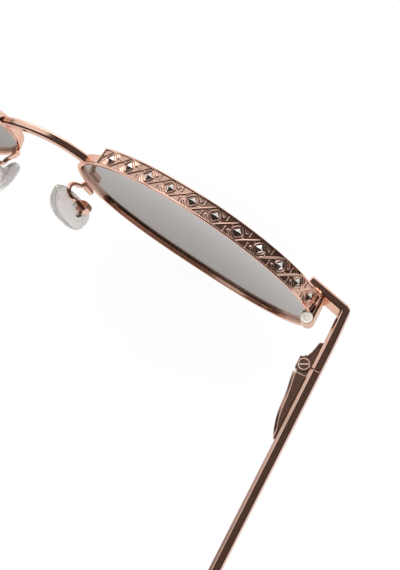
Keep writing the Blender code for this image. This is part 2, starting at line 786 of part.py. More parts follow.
def build_housing():
    """The tapered spring case on the temple's inner face, bored from its front."""
    inner = AXIS_INBOARD - FIT
    front = HOUSING_SETBACK
    tail = front + HOUSING_LENGTH
    taper_y = front + HOUSING_TAPER_AT
    plan = [
        (inner, front), (inner, tail),
        (inner - HOUSING_TAPER * 0.4, tail - HOUSING_TAPER),
        (inner - HOUSING_WIDTH + HOUSING_TAPER, taper_y),
        (inner - HOUSING_WIDTH, front),
    ]
    mesh = plate("spring_housing", plan, -LEAF_HEIGHT / 2, LEAF_HEIGHT / 2)
    case = piece("spring_housing_left", mesh, ROSE_GOLD, FOLD_AXIS)
    bevel(case, BAR_EDGE)
    chamber = front + CHAMBER_WALL
    bore = turned("spring_chamber", [
        (0, CHAMBER_END), (CHAMBER_R, CHAMBER_END), (CHAMBER_R, chamber),
        (ROD_R + FIT, chamber), (ROD_R + FIT, front - CHAMBER_WALL), (0, front - CHAMBER_WALL)])
    combine(case, bore, place=along_y(ROD_OFFSET, 0.0))
    return case


def build_spring():
    """The coil round the slider's rod, which pulls the temple home."""
    coil_r = (ROD_R + CHAMBER_R) / 2 - FIT / 2
    start = HOUSING_SETBACK + CHAMBER_WALL + SPRING_WIRE_R + FIT
    length = SPRING_LENGTH - 2 * SPRING_WIRE_R - FIT
    turns = np.linspace(0.0, 1.0, SPRING_TURNS * 10 + 1)
    angle = 2 * pi * SPRING_TURNS * turns
    points = np.stack([
        ROD_OFFSET + coil_r * np.cos(angle), start + length * turns, coil_r * np.sin(angle)],
        axis=-1)
    return wire("hinge_spring_left", points, SPRING_WIRE_R, BRIGHT_STEEL, FOLD_AXIS, 1)


BAR_MID_X = AXIS_INBOARD + BAR_WIDTH / 2


def temple_path(distance, slant):
    """The temple's centre line at distances along it: its place, and its turn downwards.

    It runs straight back, bends down round an arc, and ends in a straight slant.
    """
    distance = np.asarray(distance, dtype=float)
    turn = np.clip((distance - BEND_START) / BEND_RADIUS, 0.0, BEND_ANGLE)
    ahead = np.minimum(distance, BEND_START)
    after = np.clip(distance - BEND_START - BEND_RADIUS * BEND_ANGLE, 0.0, slant)
    y = ahead + BEND_RADIUS * np.sin(turn) + after * cos(BEND_ANGLE)
    z = -BEND_RADIUS * (1 - np.cos(turn)) - after * sin(BEND_ANGLE)
    return y + AXIS_AHEAD + FIT / 2, z, turn


def temple_rings(distances, sections, slant):
    """Rings of (across, up) sections carried along the temple's centre line."""
    y, z, turn = temple_path(distances, slant)
    rings = []
    for place_y, place_z, angle, section in zip(y, z, turn, sections):
        across, up = np.asarray(section).T
        rings.append(np.stack(
            [BAR_MID_X + across, place_y + up * sin(angle), place_z + up * cos(angle)], axis=-1))
    return rings


def chamfered(half_x, half_z, edge):
    """A box section with its four corners cut."""
    x, z = half_x - edge, half_z - edge
    return [(half_x, z), (x, half_z), (-x, half_z), (-half_x, z),
            (-half_x, -z), (-x, -half_z), (x, -half_z), (half_x, -z)]


def oval(half_x, half_z, count, power=2.0):
    """A superellipse section."""
    angles = np.arange(count) * 2 * pi / count
    c, s = np.cos(angles), np.sin(angles)
    x = np.sign(c) * np.abs(c) ** (2 / power) * half_x
    z = np.sign(s) * np.abs(s) ** (2 / power) * half_z
    return np.stack([x, z], axis=-1)


def tip_sections(slant):
    """Where the tip's rings lie and how big each is: slim, swelling to a round end."""
    bend_end = BEND_START + BEND_RADIUS * BEND_ANGLE
    end = bend_end + slant
    start = BAR_LENGTH + FIT
    marks = [start, BEND_START, bend_end, end - TIP_END_HALF[1]]
    bends = np.linspace(BEND_START, bend_end, 6)[1:-1]
    slants = np.linspace(bend_end, end - TIP_END_HALF[1], 4)[1:-1]
    places = np.sort(np.concatenate([marks, bends, slants]))
    halves = [
        np.interp(places, marks, [TIP_FRONT_HALF[i], TIP_BEND_HALF[i], TIP_BEND_HALF[i] * 1.1,
                                  TIP_END_HALF[i]])
        for i in range(2)]
    rounding = np.radians([30.0, 55.0, 75.0, 88.0])
    places = np.concatenate([places, end - TIP_END_HALF[1] * (1 - np.sin(rounding))])
    halves = [
        np.concatenate([half, TIP_END_HALF[i] * np.cos(rounding)])
        for i, half in enumerate(halves)]
    return places, [oval(x, z, 12, 2.4) for x, z in zip(*halves)]


def slant_length():
    """How long the tip's straight slant is, so that its end stands level with the rims."""
    angles = np.radians(np.arange(180, 361))
    rim = [rim_world(a, RIM_THICK, forward).z for a in angles for forward in (RIM_FRONT, -RIM_BACK)]
    trial = BEND_RADIUS
    places, sections = tip_sections(trial)
    lowest = min(ring[:, 2].min() for ring in temple_rings(places, sections, trial)) + BAR_MID_Z
    return trial + (lowest - min(rim)) / sin(BEND_ANGLE)


SLANT = slant_length()
BEND_END = BEND_START + BEND_RADIUS * BEND_ANGLE
CORE_END = BEND_END + SLANT - TIP_WALL_END - TIP_END_HALF[1]


def build_temple():
    """The temple bar, which narrows to a core wire that runs on inside the tip."""
    bar = chamfered(BAR_WIDTH / 2, BAR_HEIGHT / 2, BAR_EDGE)
    core = oval(CORE_R, CORE_R, 8)
    run = np.concatenate([
        [BAR_LENGTH], np.linspace(BEND_START, BEND_END, 8), [CORE_END]])
    distances = np.concatenate([[0.0, BAR_LENGTH], run])
    rings = temple_rings(distances, [bar, bar] + [core] * len(run), SLANT)
    mesh = loft("temple", rings)
    return piece("temple_left", mesh, ROSE_GOLD, FOLD_AXIS)


def build_tip():
    """The moulded tip: an outer skin that turns in at its mouth to the core's bore."""
    places, sections = tip_sections(SLANT)
    outer = temple_rings(places, sections, SLANT)
    bore_run = np.concatenate([
        [places[0]], np.linspace(BEND_START, BEND_END, 8), [CORE_END + PLAY]])
    bore = temple_rings(bore_run, [oval(CORE_R + PLAY, CORE_R + PLAY, 12)] * len(bore_run), SLANT)
    rings = outer[::-1] + bore
    mesh = loft("temple_tip", rings)
    return piece("temple_tip_left", mesh, ACETATE, FOLD_AXIS)


def pad_turn():
    """The nose pad's frame: x back along it, y towards the nose, z up its length."""
    width = Vector((sin(PAD_SPLAY), cos(PAD_SPLAY), 0.0))
    lean = Vector((-sin(PAD_FRONTAL), 0.0, cos(PAD_FRONTAL)))
    up = (lean - width * lean.dot(width)).normalized()
    level = Matrix((width, up.cross(width), up)).transposed().to_4x4()
    return level @ Matrix.Rotation(-PAD_ROLL, 4, "Y")


PAD_PLACE = Matrix.Translation(PAD_CENTRE) @ pad_turn()
TILT_PLACE = PAD_PLACE @ Matrix.Translation((0.0, -PAD_TO_AXIS, 0.0))
TILT_AXIS = empty("pad_axis_left", TILT_PLACE, ORIGIN)


def build_nose_pad():
    """The soft pad, with the lug of its moulded insert standing from its back."""
    work = bmesh.new()
    bmesh.ops.create_uvsphere(work, u_segments=16, v_segments=12, radius=1.0)
    for vert in work.verts:
        x, y, z = (np.sign(c) * abs(c) ** 0.8 for c in vert.co)
        reach = PAD_BEHIND if x > 0 else PAD_AHEAD
        vert.co = (x * reach, y * PAD_THICK / 2, z * PAD_LENGTH / 2)
    mesh = bpy.data.meshes.new("nose_pad")
    work.to_mesh(mesh)
    work.free()
    mesh.transform(Matrix.Translation((0.0, PAD_TO_AXIS, 0.0)))
    pad = piece("nose_pad_left", tidy(mesh), SILICONE, TILT_AXIS)
    half, reach = PAD_LUG_THICK / 2, PAD_LUG_HALF
    lug = block("pad_lug", (-half, -reach, -reach), (half, PAD_TO_AXIS - PAD_THICK / 4, reach))
    combine(pad, lug, "UNION")
    bore = rod("lug_bore", PAD_SCREW_R + FIT, -PAD_BOX_WIDTH, PAD_BOX_WIDTH, 12)
    combine(pad, bore, place=Matrix.Rotation(pi / 2, 4, "Y"))
    return pad


def build_pad_box():
    """The round-backed box on the arm's end, slotted to take the pad's lug."""
    half_w, half_h = PAD_BOX_WIDTH / 2, PAD_BOX_HEIGHT / 2
    plan = [(half_w, PAD_BOX_FRONT), (-half_w, PAD_BOX_FRONT)]
    plan += arc((0.0, half_w - PAD_BOX_BACK), half_w, 180, 360, 10)
    mesh = plate("pad_box", plan, -half_h, half_h)
    box = piece("pad_box_left", mesh, ROSE_GOLD, TILT_AXIS)
    bevel(box, RIM_CHAMFER)
    gap = PAD_LUG_THICK / 2 + FIT
    combine(box, block(
        "lug_slot", (-gap, -PAD_SLOT_FLOOR, -half_h * 2), (gap, PAD_BOX_BACK, half_h * 2)))
    bore = rod("pad_screw_bore", PAD_SCREW_R + FIT, -PAD_BOX_WIDTH, PAD_BOX_WIDTH, 12)
    combine(box, bore, place=Matrix.Rotation(pi / 2, 4, "Y"))
    return box


def build_pad_screw():
    """The little screw with a ball head on which the pad rocks."""
    near = PAD_BOX_WIDTH / 2 + FIT
    lift = sqrt(PAD_SCREW_HEAD_R ** 2 - PAD_SCREW_R ** 2)
    ball = [
        (PAD_SCREW_HEAD_R * cos(a), near + lift + PAD_SCREW_HEAD_R * sin(a))
        for a in np.linspace(pi / 2, -asin(lift / PAD_SCREW_HEAD_R), 8)]
    ball[0] = (0, ball[0][1])
    profile = ball + [(PAD_SCREW_R, FIT - near), (0, FIT - near)]
    mesh = turned("pad_screw", profile, 12)
    mesh.transform(Matrix.Rotation(pi / 2, 4, "Y"))
    return piece("pad_screw_left", mesh, BRIGHT_STEEL, TILT_AXIS)


def build_pad_arm():
    """The wire from the eyewire's back, looped up and over to the pad box."""
    behind = -RIM_BACK - PAD_FOOT_R - FIT
    foot = []
    for height in np.linspace(PAD_FOOT_LOW, PAD_FOOT_HIGH, 4):
        angle = pi + asin((-height / EYE_DROP) ** (LOW_NASAL_POWER / 2))
        foot.append(tuple(rim_world(angle, RIM_THICK * 0.6, behind)))
    on_box = [
        TILT_PLACE @ Vector((*PAD_ARM_END, PAD_BOX_HEIGHT / 2 + lift))
        for lift in (PAD_ARM_R * 2, PLAY)]
    route = smooth_route(foot[-1:] + list(PAD_LOOP) + [tuple(point) for point in on_box], 3)
    flare = PAD_FOOT_R / PAD_ARM_R
    return wire(
        "pad_arm_left", np.vstack([foot[:-1], route]), PAD_ARM_R, ROSE_GOLD, ORIGIN,
        swell=[flare] * len(foot) + list(np.linspace(flare, 1.0, len(foot))))


def rim_seat(angles):
    """A cutter that leaves a fitted seat for the eyewire's outer side and back."""
    out, back, reach = RIM_THICK + FIT, -RIM_BACK - FIT, RIM_THICK * 3
    section = [(out, reach), (out, back), (-reach, back), (-reach, reach)]
    ring = loft("rim_seat", rim_rings(angles, section))
    ring.transform(LENS_PLANE)
    return ring


def build_bridge():
    """The arched bar between the two rims, its ends cut to lie against them."""
    angle = pi - asin((BRIDGE_Z / EYE_RISE) ** (TOP_NASAL_POWER / 2))
    joint = rim_world(angle, RIM_THICK / 2, (RIM_FRONT - RIM_BACK) / 2)
    middle = np.linspace(-1.0, 1.0, 13)
    x = middle * joint.x
    z = joint.z + BRIDGE_ARCH * (1 - middle ** 2)
    y = joint.y - BRIDGE_ARCH * 0.5 * (1 - middle ** 2)
    slope = np.arctan(-2 * BRIDGE_ARCH * middle / joint.x)
    section = chamfered(BRIDGE_HALF_DEPTH, BRIDGE_HALF_HEIGHT, BRIDGE_HALF_DEPTH * 0.4)
    rings = [
        [(px - up * sin(lean), py + deep, pz + up * cos(lean)) for deep, up in section]
        for px, py, pz, lean in zip(x, y, z, slope)]
    bar = piece("bridge", loft("bridge", rings), ROSE_GOLD, ORIGIN)
    ring = rim_seat(stations(pi * 0.72, pi * 1.05))
    combine(bar, ring)
    other = ring.copy()
    other.transform(Matrix.Diagonal((-1.0, 1.0, 1.0, 1.0)))
    other.flip_normals()
    combine(bar, other)
    return bar


def mirrored(source, carriers):
    """The right-hand twin of a left-hand piece, with its origin on its own axis."""
    graph = bpy.context.evaluated_depsgraph_get()
    mesh = bpy.data.meshes.new_from_object(source.evaluated_get(graph))
    flip = Matrix.Diagonal((-1.0, 1.0, 1.0, 1.0))
    carrier = carriers[source.parent.name]
    mesh.transform(carrier.matrix_world.inverted() @ flip @ source.matrix_world)
    mesh.flip_normals()
    twin = bpy.data.objects.new(source.name.replace("_left", "_right"), mesh)
    PIECES.objects.link(twin)
    twin.parent = carrier
    return twin


def build_all():
    """Build the left half, mirror it, add the bridge and stand it all on Z = 0."""
    left = [build_eyewire(), build_lens(), build_brow_band(), *build_studs(),
            build_end_piece(), *build_closing_block(), build_hinge_leaf(),
            build_hinge_screw(), build_slider(), build_housing(), build_spring(),
            build_temple(), build_tip(), build_pad_arm(), build_pad_box(),
            build_nose_pad(), build_pad_screw()]
    bpy.context.view_layer.update()
    carriers = {ORIGIN.name: ORIGIN}
    for carrier in (LENS_FRAME, FOLD_AXIS, TILT_AXIS):
        x, y, z = carrier.location
        place = Matrix.Translation((-x, y, z))
        name = carrier.name.replace("_left", "_right")
        carriers[carrier.name] = empty(name, place, ORIGIN)
    bpy.context.view_layer.update()
    right = [mirrored(source, carriers) for source in left]
    pieces = left + right + [build_bridge()]
    bpy.context.view_layer.update()
    graph = bpy.context.evaluated_depsgraph_get()
    points = np.array([
        made.matrix_world @ vert.co
        for made in pieces for vert in made.evaluated_get(graph).data.vertices])
    low, high = points.min(axis=0), points.max(axis=0)
    ORIGIN.location = (0.0, -(low[1] + high[1]) / 2, -low[2])
    bpy.context.view_layer.update()


build_all()
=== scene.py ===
# %% [markdown]
# Sunglasses with studded brow bands.
# The real object is a polished rose gold frame: two thin grooved rims, a cast and
# engraved band over the top of each, pyramid studs set in the bands, spring hinges,
# slim temples with moulded tips, and soft nose pads on looped wires.
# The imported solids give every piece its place. This file dresses them: each visible
# piece becomes a smooth surface worked out with numpy, with a finish of its own.

import bmesh
import bpy
import numpy as np
from mathutils import Matrix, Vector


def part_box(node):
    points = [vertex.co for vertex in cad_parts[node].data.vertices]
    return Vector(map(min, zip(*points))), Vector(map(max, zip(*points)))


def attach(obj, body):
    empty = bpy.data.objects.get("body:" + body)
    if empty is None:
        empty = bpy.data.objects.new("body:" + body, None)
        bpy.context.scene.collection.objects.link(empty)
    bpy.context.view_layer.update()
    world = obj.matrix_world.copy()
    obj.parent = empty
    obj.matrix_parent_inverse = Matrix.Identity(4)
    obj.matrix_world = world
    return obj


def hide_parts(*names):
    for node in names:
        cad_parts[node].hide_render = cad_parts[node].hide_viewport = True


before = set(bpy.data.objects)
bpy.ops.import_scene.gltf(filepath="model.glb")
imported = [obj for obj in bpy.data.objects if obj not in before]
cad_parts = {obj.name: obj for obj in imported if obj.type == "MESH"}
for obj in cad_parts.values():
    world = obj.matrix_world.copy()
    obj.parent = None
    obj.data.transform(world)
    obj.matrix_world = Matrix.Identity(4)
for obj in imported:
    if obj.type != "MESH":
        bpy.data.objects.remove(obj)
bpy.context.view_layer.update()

# %% [markdown]
# Sizes are written in millimetres, in the frame the maker would use: X to the wearer's
# left, Y back along the temples from the middle of the rims, Z up from the middle of
# the lenses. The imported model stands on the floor, so its origin lies lower and further
# back. Two faces of known place, the temple's seam and the top of the end piece, tell
# how far.

# %% From the maker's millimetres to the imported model's metres
MM = 0.001
SEAM = 16.825
END_TOP = 8.3
seam_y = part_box("temple_left")[0][1] / MM
top_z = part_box("end_piece_left")[1][2] / MM
SHIFT = np.array([0.0, seam_y - SEAM, top_z - END_TOP])
print("the maker's origin in the packed model, mm:", SHIFT.round(4))

# %% [markdown]
# Every metal piece here is a closed skin. It could be drawn by hand and subdivided, but
# a grid of points is easier to get exactly right: rows run along the piece, columns run
# round it, and neighbouring points make a quad. The helper wraps the grid round where
# it closes, caps its ends, welds doubled points at seams and poles, and points the
# faces outwards. The right-hand twin is the same grid with its X turned over.


# %% Skins from grids of points
WELD = 2e-7
SHARP_FROM = np.radians(42.0)


def quads_of(rows, columns, wrap_rows, wrap_columns):
    """Point (r, c) has the number r·columns + c; a quad joins it to (r, c+1), (r+1, c+1), (r+1, c)."""
    row = np.arange(rows if wrap_rows else rows - 1)[:, None]
    column = np.arange(columns if wrap_columns else columns - 1)[None, :]
    below = (row + 1) % rows
    beside = (column + 1) % columns
    corners = [row * columns + column, row * columns + beside,
               below * columns + beside, below * columns + column]
    return np.stack(corners, axis=-1).reshape(-1, 4)


def skin(name, grid, wrap_rows=False, wrap_columns=True, values=None):
    """One grid (rows, columns, 3) in millimetres as a mesh in metres, with flat caps on open ends."""
    grid = np.asarray(grid, dtype=float)
    rows, columns = grid.shape[:2]
    faces = quads_of(rows, columns, wrap_rows, wrap_columns).tolist()
    if not wrap_rows:
        faces.append(list(range(columns)))
        faces.append(list(range((rows - 1) * columns, rows * columns)))
    mesh = bpy.data.meshes.new(name)
    mesh.from_pydata(((grid + SHIFT) * MM).reshape(-1, 3), [], faces)
    for label, numbers in (values or {}).items():
        layer = mesh.attributes.new(label, "FLOAT", "POINT")
        layer.data.foreach_set("value", np.asarray(numbers, dtype=np.float32).ravel())
    return mesh


def welded(name, meshes):
    """Several skins as one mesh: doubled points merged and every closed skin turned outwards."""
    work = bmesh.new()
    for mesh in meshes:
        work.from_mesh(mesh)
        bpy.data.meshes.remove(mesh)
    bmesh.ops.remove_doubles(work, verts=work.verts, dist=WELD)
    bmesh.ops.recalc_face_normals(work, faces=work.faces)
    joined = bpy.data.meshes.new(name)
    work.to_mesh(joined)
    work.free()
    joined.shade_smooth()
    joined.set_sharp_from_angle(angle=SHARP_FROM)
    return joined


print("3 rows of 4 points, wrapped round, make", len(quads_of(3, 4, False, True)), "quads")


# %% Pieces, and pairs of them
def piece(name, mesh, finish, body, nodes):
    """Put a mesh in the scene with its finish, hang it on its body and let it stand for its solids."""
    mesh.materials.append(finish)
    made = bpy.data.objects.new(name, mesh)
    bpy.context.scene.collection.objects.link(made)
    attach(made, body)
    if nodes:
        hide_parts(*nodes)
    return made


def pair(name, skins, finish, body, nodes):
    """The left piece and its right twin; every `skins` entry is (grid, options for skin)."""
    made = []
    for side, turn in (("left", 1.0), ("right", -1.0)):
        label = f"{name}_{side}"
        meshes = [skin(label, grid * (turn, 1.0, 1.0), **options) for grid, options in skins]
        whose = body.replace("SIDE", side)
        stands_for = [node.replace("SIDE", side) for node in nodes]
        made.append(piece(label, welded(label, meshes), finish, whose, stands_for))
    faces = len(made[0].data.polygons)
    print(f"{name}: {faces} faces on each side, on body {body}")
    return made


print("each pair is one grid and the same grid with X turned over")

# %% [markdown]
# Next come shapes that many pieces share. A bar with softly rounded long edges is a
# rounded rectangle carried along a path. A plate is its plan, drawn in a little where
# the rim is rounded over. A screw is a profile of radius and height spun round. Each
# keeps one extra row just inside a rounded rim: it holds the flat face flat, so that
# polished metal doesn't look puffed up.


# %% A rounded rectangle, and carrying it along a path
CORNER_HOLD = 0.35
BEVEL_FALL = 0.58
RIM_HOLD = 1.3


def box_section(half_wide, half_high, edge, inner, steps=5):
    """Points round a rounded rectangle, for one size or a column of sizes.

    Each corner is a quarter circle about (±(half_wide − radius), ±(half_high − radius)),
    of radius `edge` on the +x side and `inner` on the −x side, with one point a little
    before it and one a little after. With no steps the corner is a flat bevel instead,
    which falls by BEVEL_FALL of its width and has four points in a straight line.
    """
    turn = np.linspace(0.0, np.pi / 2, steps)
    share = np.array([0.0, 0.07, 0.93, 1.0])
    first, second = (np.cos(turn), np.sin(turn)) if steps else (1.0 - share, share)
    along = np.concatenate([[1.0], first, [-CORNER_HOLD]])
    aside = np.concatenate([[-CORNER_HOLD], second, [1.0]])
    round_x = np.concatenate([along, -aside, -along, aside])
    round_y = np.concatenate([aside, along, -aside, -along])
    sign_x = np.repeat([1.0, -1.0, -1.0, 1.0], len(along))
    sign_y = np.repeat([1.0, 1.0, -1.0, -1.0], len(along))
    half_wide, half_high, edge, inner = (
        np.asarray(value, dtype=float)[..., None] for value in (half_wide, half_high, edge, inner))
    edge = np.where(sign_x > 0, edge, inner)
    flat_x = np.maximum(half_wide - edge, 0.0)
    deep = edge * (1.0 if steps else BEVEL_FALL)
    flat_y = np.maximum(half_high - deep, 0.0)
    x = sign_x * flat_x + round_x * np.minimum(edge, half_wide)
    y = sign_y * flat_y + round_y * np.minimum(deep, half_high)
    keep_x = np.maximum(half_wide, 0.0)
    keep_y = np.maximum(half_high, 0.0)
    return np.clip(x, -keep_x, keep_x), np.clip(y, -keep_y, keep_y)


def carried(centres, across, up, half_wide, half_high, edge, steps=5, inner=None):
    """Each row is centre + across·x + up·y, with (x, y) round the rounded rectangle."""
    rows = len(centres)
    inner = edge if inner is None else inner
    sizes = [np.broadcast_to(np.asarray(value, dtype=float), rows)
             for value in (half_wide, half_high, edge, inner)]
    x, y = box_section(*sizes, steps)
    across = np.broadcast_to(across, (rows, 3))[:, None, :]
    up = np.broadcast_to(up, (rows, 3))[:, None, :]
    return centres[:, None, :] + across * x[..., None] + up * y[..., None]


def rounding(distance, radius):
    """How much a bar narrows at a distance from its end: r − √(r² − (r − d)²) where d < r."""
    near = np.clip(1.0 - np.asarray(distance) / radius, 0.0, 1.0)
    return radius * (1.0 - np.sqrt(1.0 - near ** 2))


def eased(share):
    """A share that starts and ends softly: 3t² − 2t³."""
    return share * share * (3.0 - 2.0 * share)


def stops(length, radius, count, steps=6):
    """Distances along a bar: crowded over the rounded rim at each end, even between."""
    curl = radius * (1.0 - np.cos(np.linspace(0.0, np.pi / 2, steps)))
    between = np.linspace(radius * RIM_HOLD, length - radius * RIM_HOLD, count)
    return np.concatenate([curl, between, (length - curl)[::-1]])


print("a corner of a rounded rectangle:", np.round(box_section(2.0, 1.0, 0.3, 0.3), 3)[0, :4])


# %% Plans with turned corners, plates and turned profiles
TURN_HOLD = 0.2


def turned_corners(corners, radii, steps=5):
    """A plan whose corners become parabola arcs: start·(1−t)² + corner·2t(1−t) + end·t²."""
    corners = np.asarray(corners, dtype=float)
    radii = np.broadcast_to(np.asarray(radii, dtype=float), len(corners))[:, None]
    before = np.roll(corners, 1, axis=0) - corners
    after = np.roll(corners, -1, axis=0) - corners
    before = before / np.linalg.norm(before, axis=1, keepdims=True)
    after = after / np.linalg.norm(after, axis=1, keepdims=True)
    start, end = corners + before * radii, corners + after * radii
    t = np.linspace(0.0, 1.0, steps)[:, None, None]
    curve = start * (1 - t) ** 2 + corners * 2 * t * (1 - t) + end * t ** 2
    hold_start = (start + before * radii * TURN_HOLD)[None]
    hold_end = (end + after * radii * TURN_HOLD)[None]
    return np.concatenate([hold_start, curve, hold_end]).transpose(1, 0, 2).reshape(-1, 2)


def inward(plan):
    """The direction into the plan at each point: square to the line between its neighbours."""
    ahead = np.roll(plan, -1, axis=0) - np.roll(plan, 1, axis=0)
    ahead = ahead / np.linalg.norm(ahead, axis=1, keepdims=True)
    area = np.sum(plan[:, 0] * np.roll(plan[:, 1], -1) - np.roll(plan[:, 0], -1) * plan[:, 1])
    return np.stack([-ahead[:, 1], ahead[:, 0]], axis=-1) * np.sign(area)


def plate(plan, low, high, edge_low, edge_high, steps=5):
    """Rings of a flat plate with rounded rims: (inset, height) runs up a quarter circle,
    up the wall, and over a second quarter circle, with one holding ring on each flat face."""
    turn = np.linspace(0.0, np.pi / 2, steps)
    inset = 1.0 - np.sin(turn)
    climb = 1.0 - np.cos(turn)
    insets = np.concatenate([[edge_low * RIM_HOLD], edge_low * inset, (edge_high * inset)[::-1],
                             [edge_high * RIM_HOLD]])
    heights = np.concatenate([[low], low + edge_low * climb, (high - edge_high * climb)[::-1], [high]])
    rings = plan[None] + inward(plan)[None] * insets[:, None, None]
    tall = np.broadcast_to(heights[:, None, None], (*rings.shape[:2], 1))
    return np.concatenate([rings, tall], axis=-1)


def spun(profile, centre, columns=48, spin=np.eye(3)):
    """(radius, height) points turned round the height axis: r·cos, r·sin, h, then spun into place."""
    profile = np.asarray(profile, dtype=float)
    angle = np.arange(columns) * 2 * np.pi / columns
    radius, height = profile[:, :1], profile[:, 1:]
    rings = np.stack(np.broadcast_arrays(
        radius * np.cos(angle), radius * np.sin(angle), height + 0 * angle), axis=-1)
    return rings @ np.asarray(spin, dtype=float).T + np.asarray(centre, dtype=float)


def arc(centre, radius, start, end, count):
    """Plan points on an arc between two angles in degrees."""
    angle = np.radians(np.linspace(start, end, count))
    return np.stack([centre[0] + radius * np.cos(angle), centre[1] + radius * np.sin(angle)], -1)


print("a square plan with turned corners has", len(turned_corners(
    [(0, 0), (1, 0), (1, 1), (0, 1)], 0.2)), "points")

# %% [markdown]
# Finishes. The frame is brass plated with rose gold: a mirror with a warm tint, a little
# blurred by polishing marks. The cast bands have a softer shine, and their colour is
# darker in their recesses: painted shade. A screw's rim is worn matt, so
# it scatters light like paint. All patterns read Object coordinates in metres, so a
# scale of 2000 makes marks about half a millimetre wide. A Mix node's colour sockets
# share their names with its number sockets, so they are found by place.


# %% Small building blocks for materials
FIRST_COLOUR, SECOND_COLOUR, MIXED_COLOUR = 6, 7, 2


def finish_of(name, metallic, colour, roughness, **plain):
    """A Principled finish; numbers that are the same all over go straight on its sockets."""
    made = bpy.data.materials.new(name)
    made.use_nodes = True
    shader = made.node_tree.nodes["Principled BSDF"]
    shader.inputs["Metallic"].default_value = metallic
    shader.inputs["Base Color"].default_value = (*colour, 1.0)
    shader.inputs["Roughness"].default_value = roughness
    for socket, value in plain.items():
        shader.inputs[socket.replace("_", " ")].default_value = value
    return made, made.node_tree, shader


def noise(tree, scale, detail=3.0, stretch=(1.0, 1.0, 1.0)):
    """Soft random blotches on Object coordinates, from 0 to 1."""
    place = tree.nodes.new("ShaderNodeTexCoord")
    sized = tree.nodes.new("ShaderNodeMapping")
    sized.inputs["Scale"].default_value = stretch
    made = tree.nodes.new("ShaderNodeTexNoise")
    made.inputs["Scale"].default_value = scale
    made.inputs["Detail"].default_value = detail
    tree.links.new(place.outputs["Object"], sized.inputs["Vector"])
    tree.links.new(sized.outputs["Vector"], made.inputs["Vector"])
    return made.outputs["Fac"]


def spread(tree, value, start, end, low, high):
    """Map a value from start…end to low…high, held at both ends."""
    made = tree.nodes.new("ShaderNodeMapRange")
    tree.links.new(value, made.inputs["Value"])
    for socket, number in zip(("From Min", "From Max", "To Min", "To Max"), (start, end, low, high)):
        made.inputs[socket].default_value = number
    return made.outputs["Result"]


def between(tree, share, first, second):
    """A colour part of the way from the first to the second."""
    made = tree.nodes.new("ShaderNodeMix")
    made.data_type = "RGBA"
    tree.links.new(share, made.inputs["Factor"])
    made.inputs[FIRST_COLOUR].default_value = (*first, 1.0)
    made.inputs[SECOND_COLOUR].default_value = (*second, 1.0)
    return made.outputs[MIXED_COLOUR]


def bumped(tree, shader, height, strength, depth):
    """Let a pattern dent the surface by up to `depth` metres."""
    made = tree.nodes.new("ShaderNodeBump")
    made.inputs["Strength"].default_value = strength
    made.inputs["Distance"].default_value = depth
    tree.links.new(height, made.inputs["Height"])
    tree.links.new(made.outputs["Normal"], shader.inputs["Normal"])


print("material helpers: finish_of, noise, spread, between, bumped")

# %% The polished and matt metals
GLANCING_GOLD = (0.84, 0.69, 0.62, 1.0)
DRIFT_SHARE = 0.12


def metal(name, bright, dull, shine, scale, stretch=(1.0, 1.0, 1.0), depth=2e-6, solid=1.0):
    """Polished metal: its tint drifts slowly, and fine marks blur and dent it.

    `solid` is the share of mirror in it; the rest is a matt plating that scatters light.
    """
    made, tree, shader = finish_of(name, solid, bright, shine[0])
    shader.inputs["Specular Tint"].default_value = GLANCING_GOLD
    drift = spread(tree, noise(tree, scale * DRIFT_SHARE), 0.35, 0.65, 0.0, 1.0)
    marks = noise(tree, scale, 5.0, stretch)
    tree.links.new(between(tree, drift, bright, dull), shader.inputs["Base Color"])
    tree.links.new(spread(tree, marks, 0.3, 0.7, *shine), shader.inputs["Roughness"])
    bumped(tree, shader, marks, 0.35, depth)
    return made


ROSE = (0.86, 0.575, 0.465)
ROSE_DULL = (0.80, 0.515, 0.41)
rose_gold = metal("polished_rose_gold", ROSE, ROSE_DULL, (0.07, 0.16), 2600.0)
screw_steel = metal("screw_steel", (0.86, 0.80, 0.74), (0.78, 0.71, 0.64), (0.16, 0.30), 5000.0)
satin_gold = metal("satin_rose_gold", ROSE, ROSE_DULL, (0.12, 0.20), 5200.0)
matt_steel = metal("matt_screw_steel", (1.0, 0.97, 0.90), (1.0, 0.94, 0.86), (0.42, 0.55), 5000.0,
                   solid=0.1)
bright_ring = metal("plated_screw_ring", (1.0, 0.84, 0.76), (0.98, 0.80, 0.70), (0.4, 0.5), 5000.0,
                    solid=0.15)
dark_mirror = metal("stud_mirror", (0.80, 0.76, 0.74), (0.70, 0.65, 0.63), (0.03, 0.07), 4000.0,
                    depth=5e-7)
slider_steel = metal("slider_steel", (0.62, 0.58, 0.55), (0.52, 0.48, 0.45), (0.2, 0.35), 3000.0,
                     (1.0, 6.0, 1.0))
spring_steel = metal("spring_steel", (0.60, 0.58, 0.56), (0.5, 0.48, 0.46), (0.2, 0.35), 4000.0)
endings = ("gold", "steel", "mirror", "ring")
print("metals:", [made.name for made in bpy.data.materials if made.name.endswith(endings)])

# %% The cast gold of the bands, with painted shade in its recesses
STRAND_TALL = 0.16
cast_gold, tree, shader = finish_of("cast_rose_gold", 1.0, ROSE, 0.2, Specular_Tint=GLANCING_GOLD)
relief = tree.nodes.new("ShaderNodeAttribute")
relief.attribute_name = "relief"
height = relief.outputs["Fac"]
painted_hollow_shade = spread(tree, height, 0.0, STRAND_TALL, 0.0, 1.0)
grain = noise(tree, 3800.0, 5.0)
# Painted shade: the base colour runs from a darker rose on the field and in the hollows up to plain rose gold
# on the ornament's tops.
tree.links.new(between(tree, painted_hollow_shade, (0.66, 0.42, 0.33), ROSE), shader.inputs["Base Color"])
tree.links.new(spread(tree, height, 0.0, STRAND_TALL, 0.24, 0.12), shader.inputs["Roughness"])
bumped(tree, shader, grain, 0.5, 4e-6)
print("made", cast_gold.name)

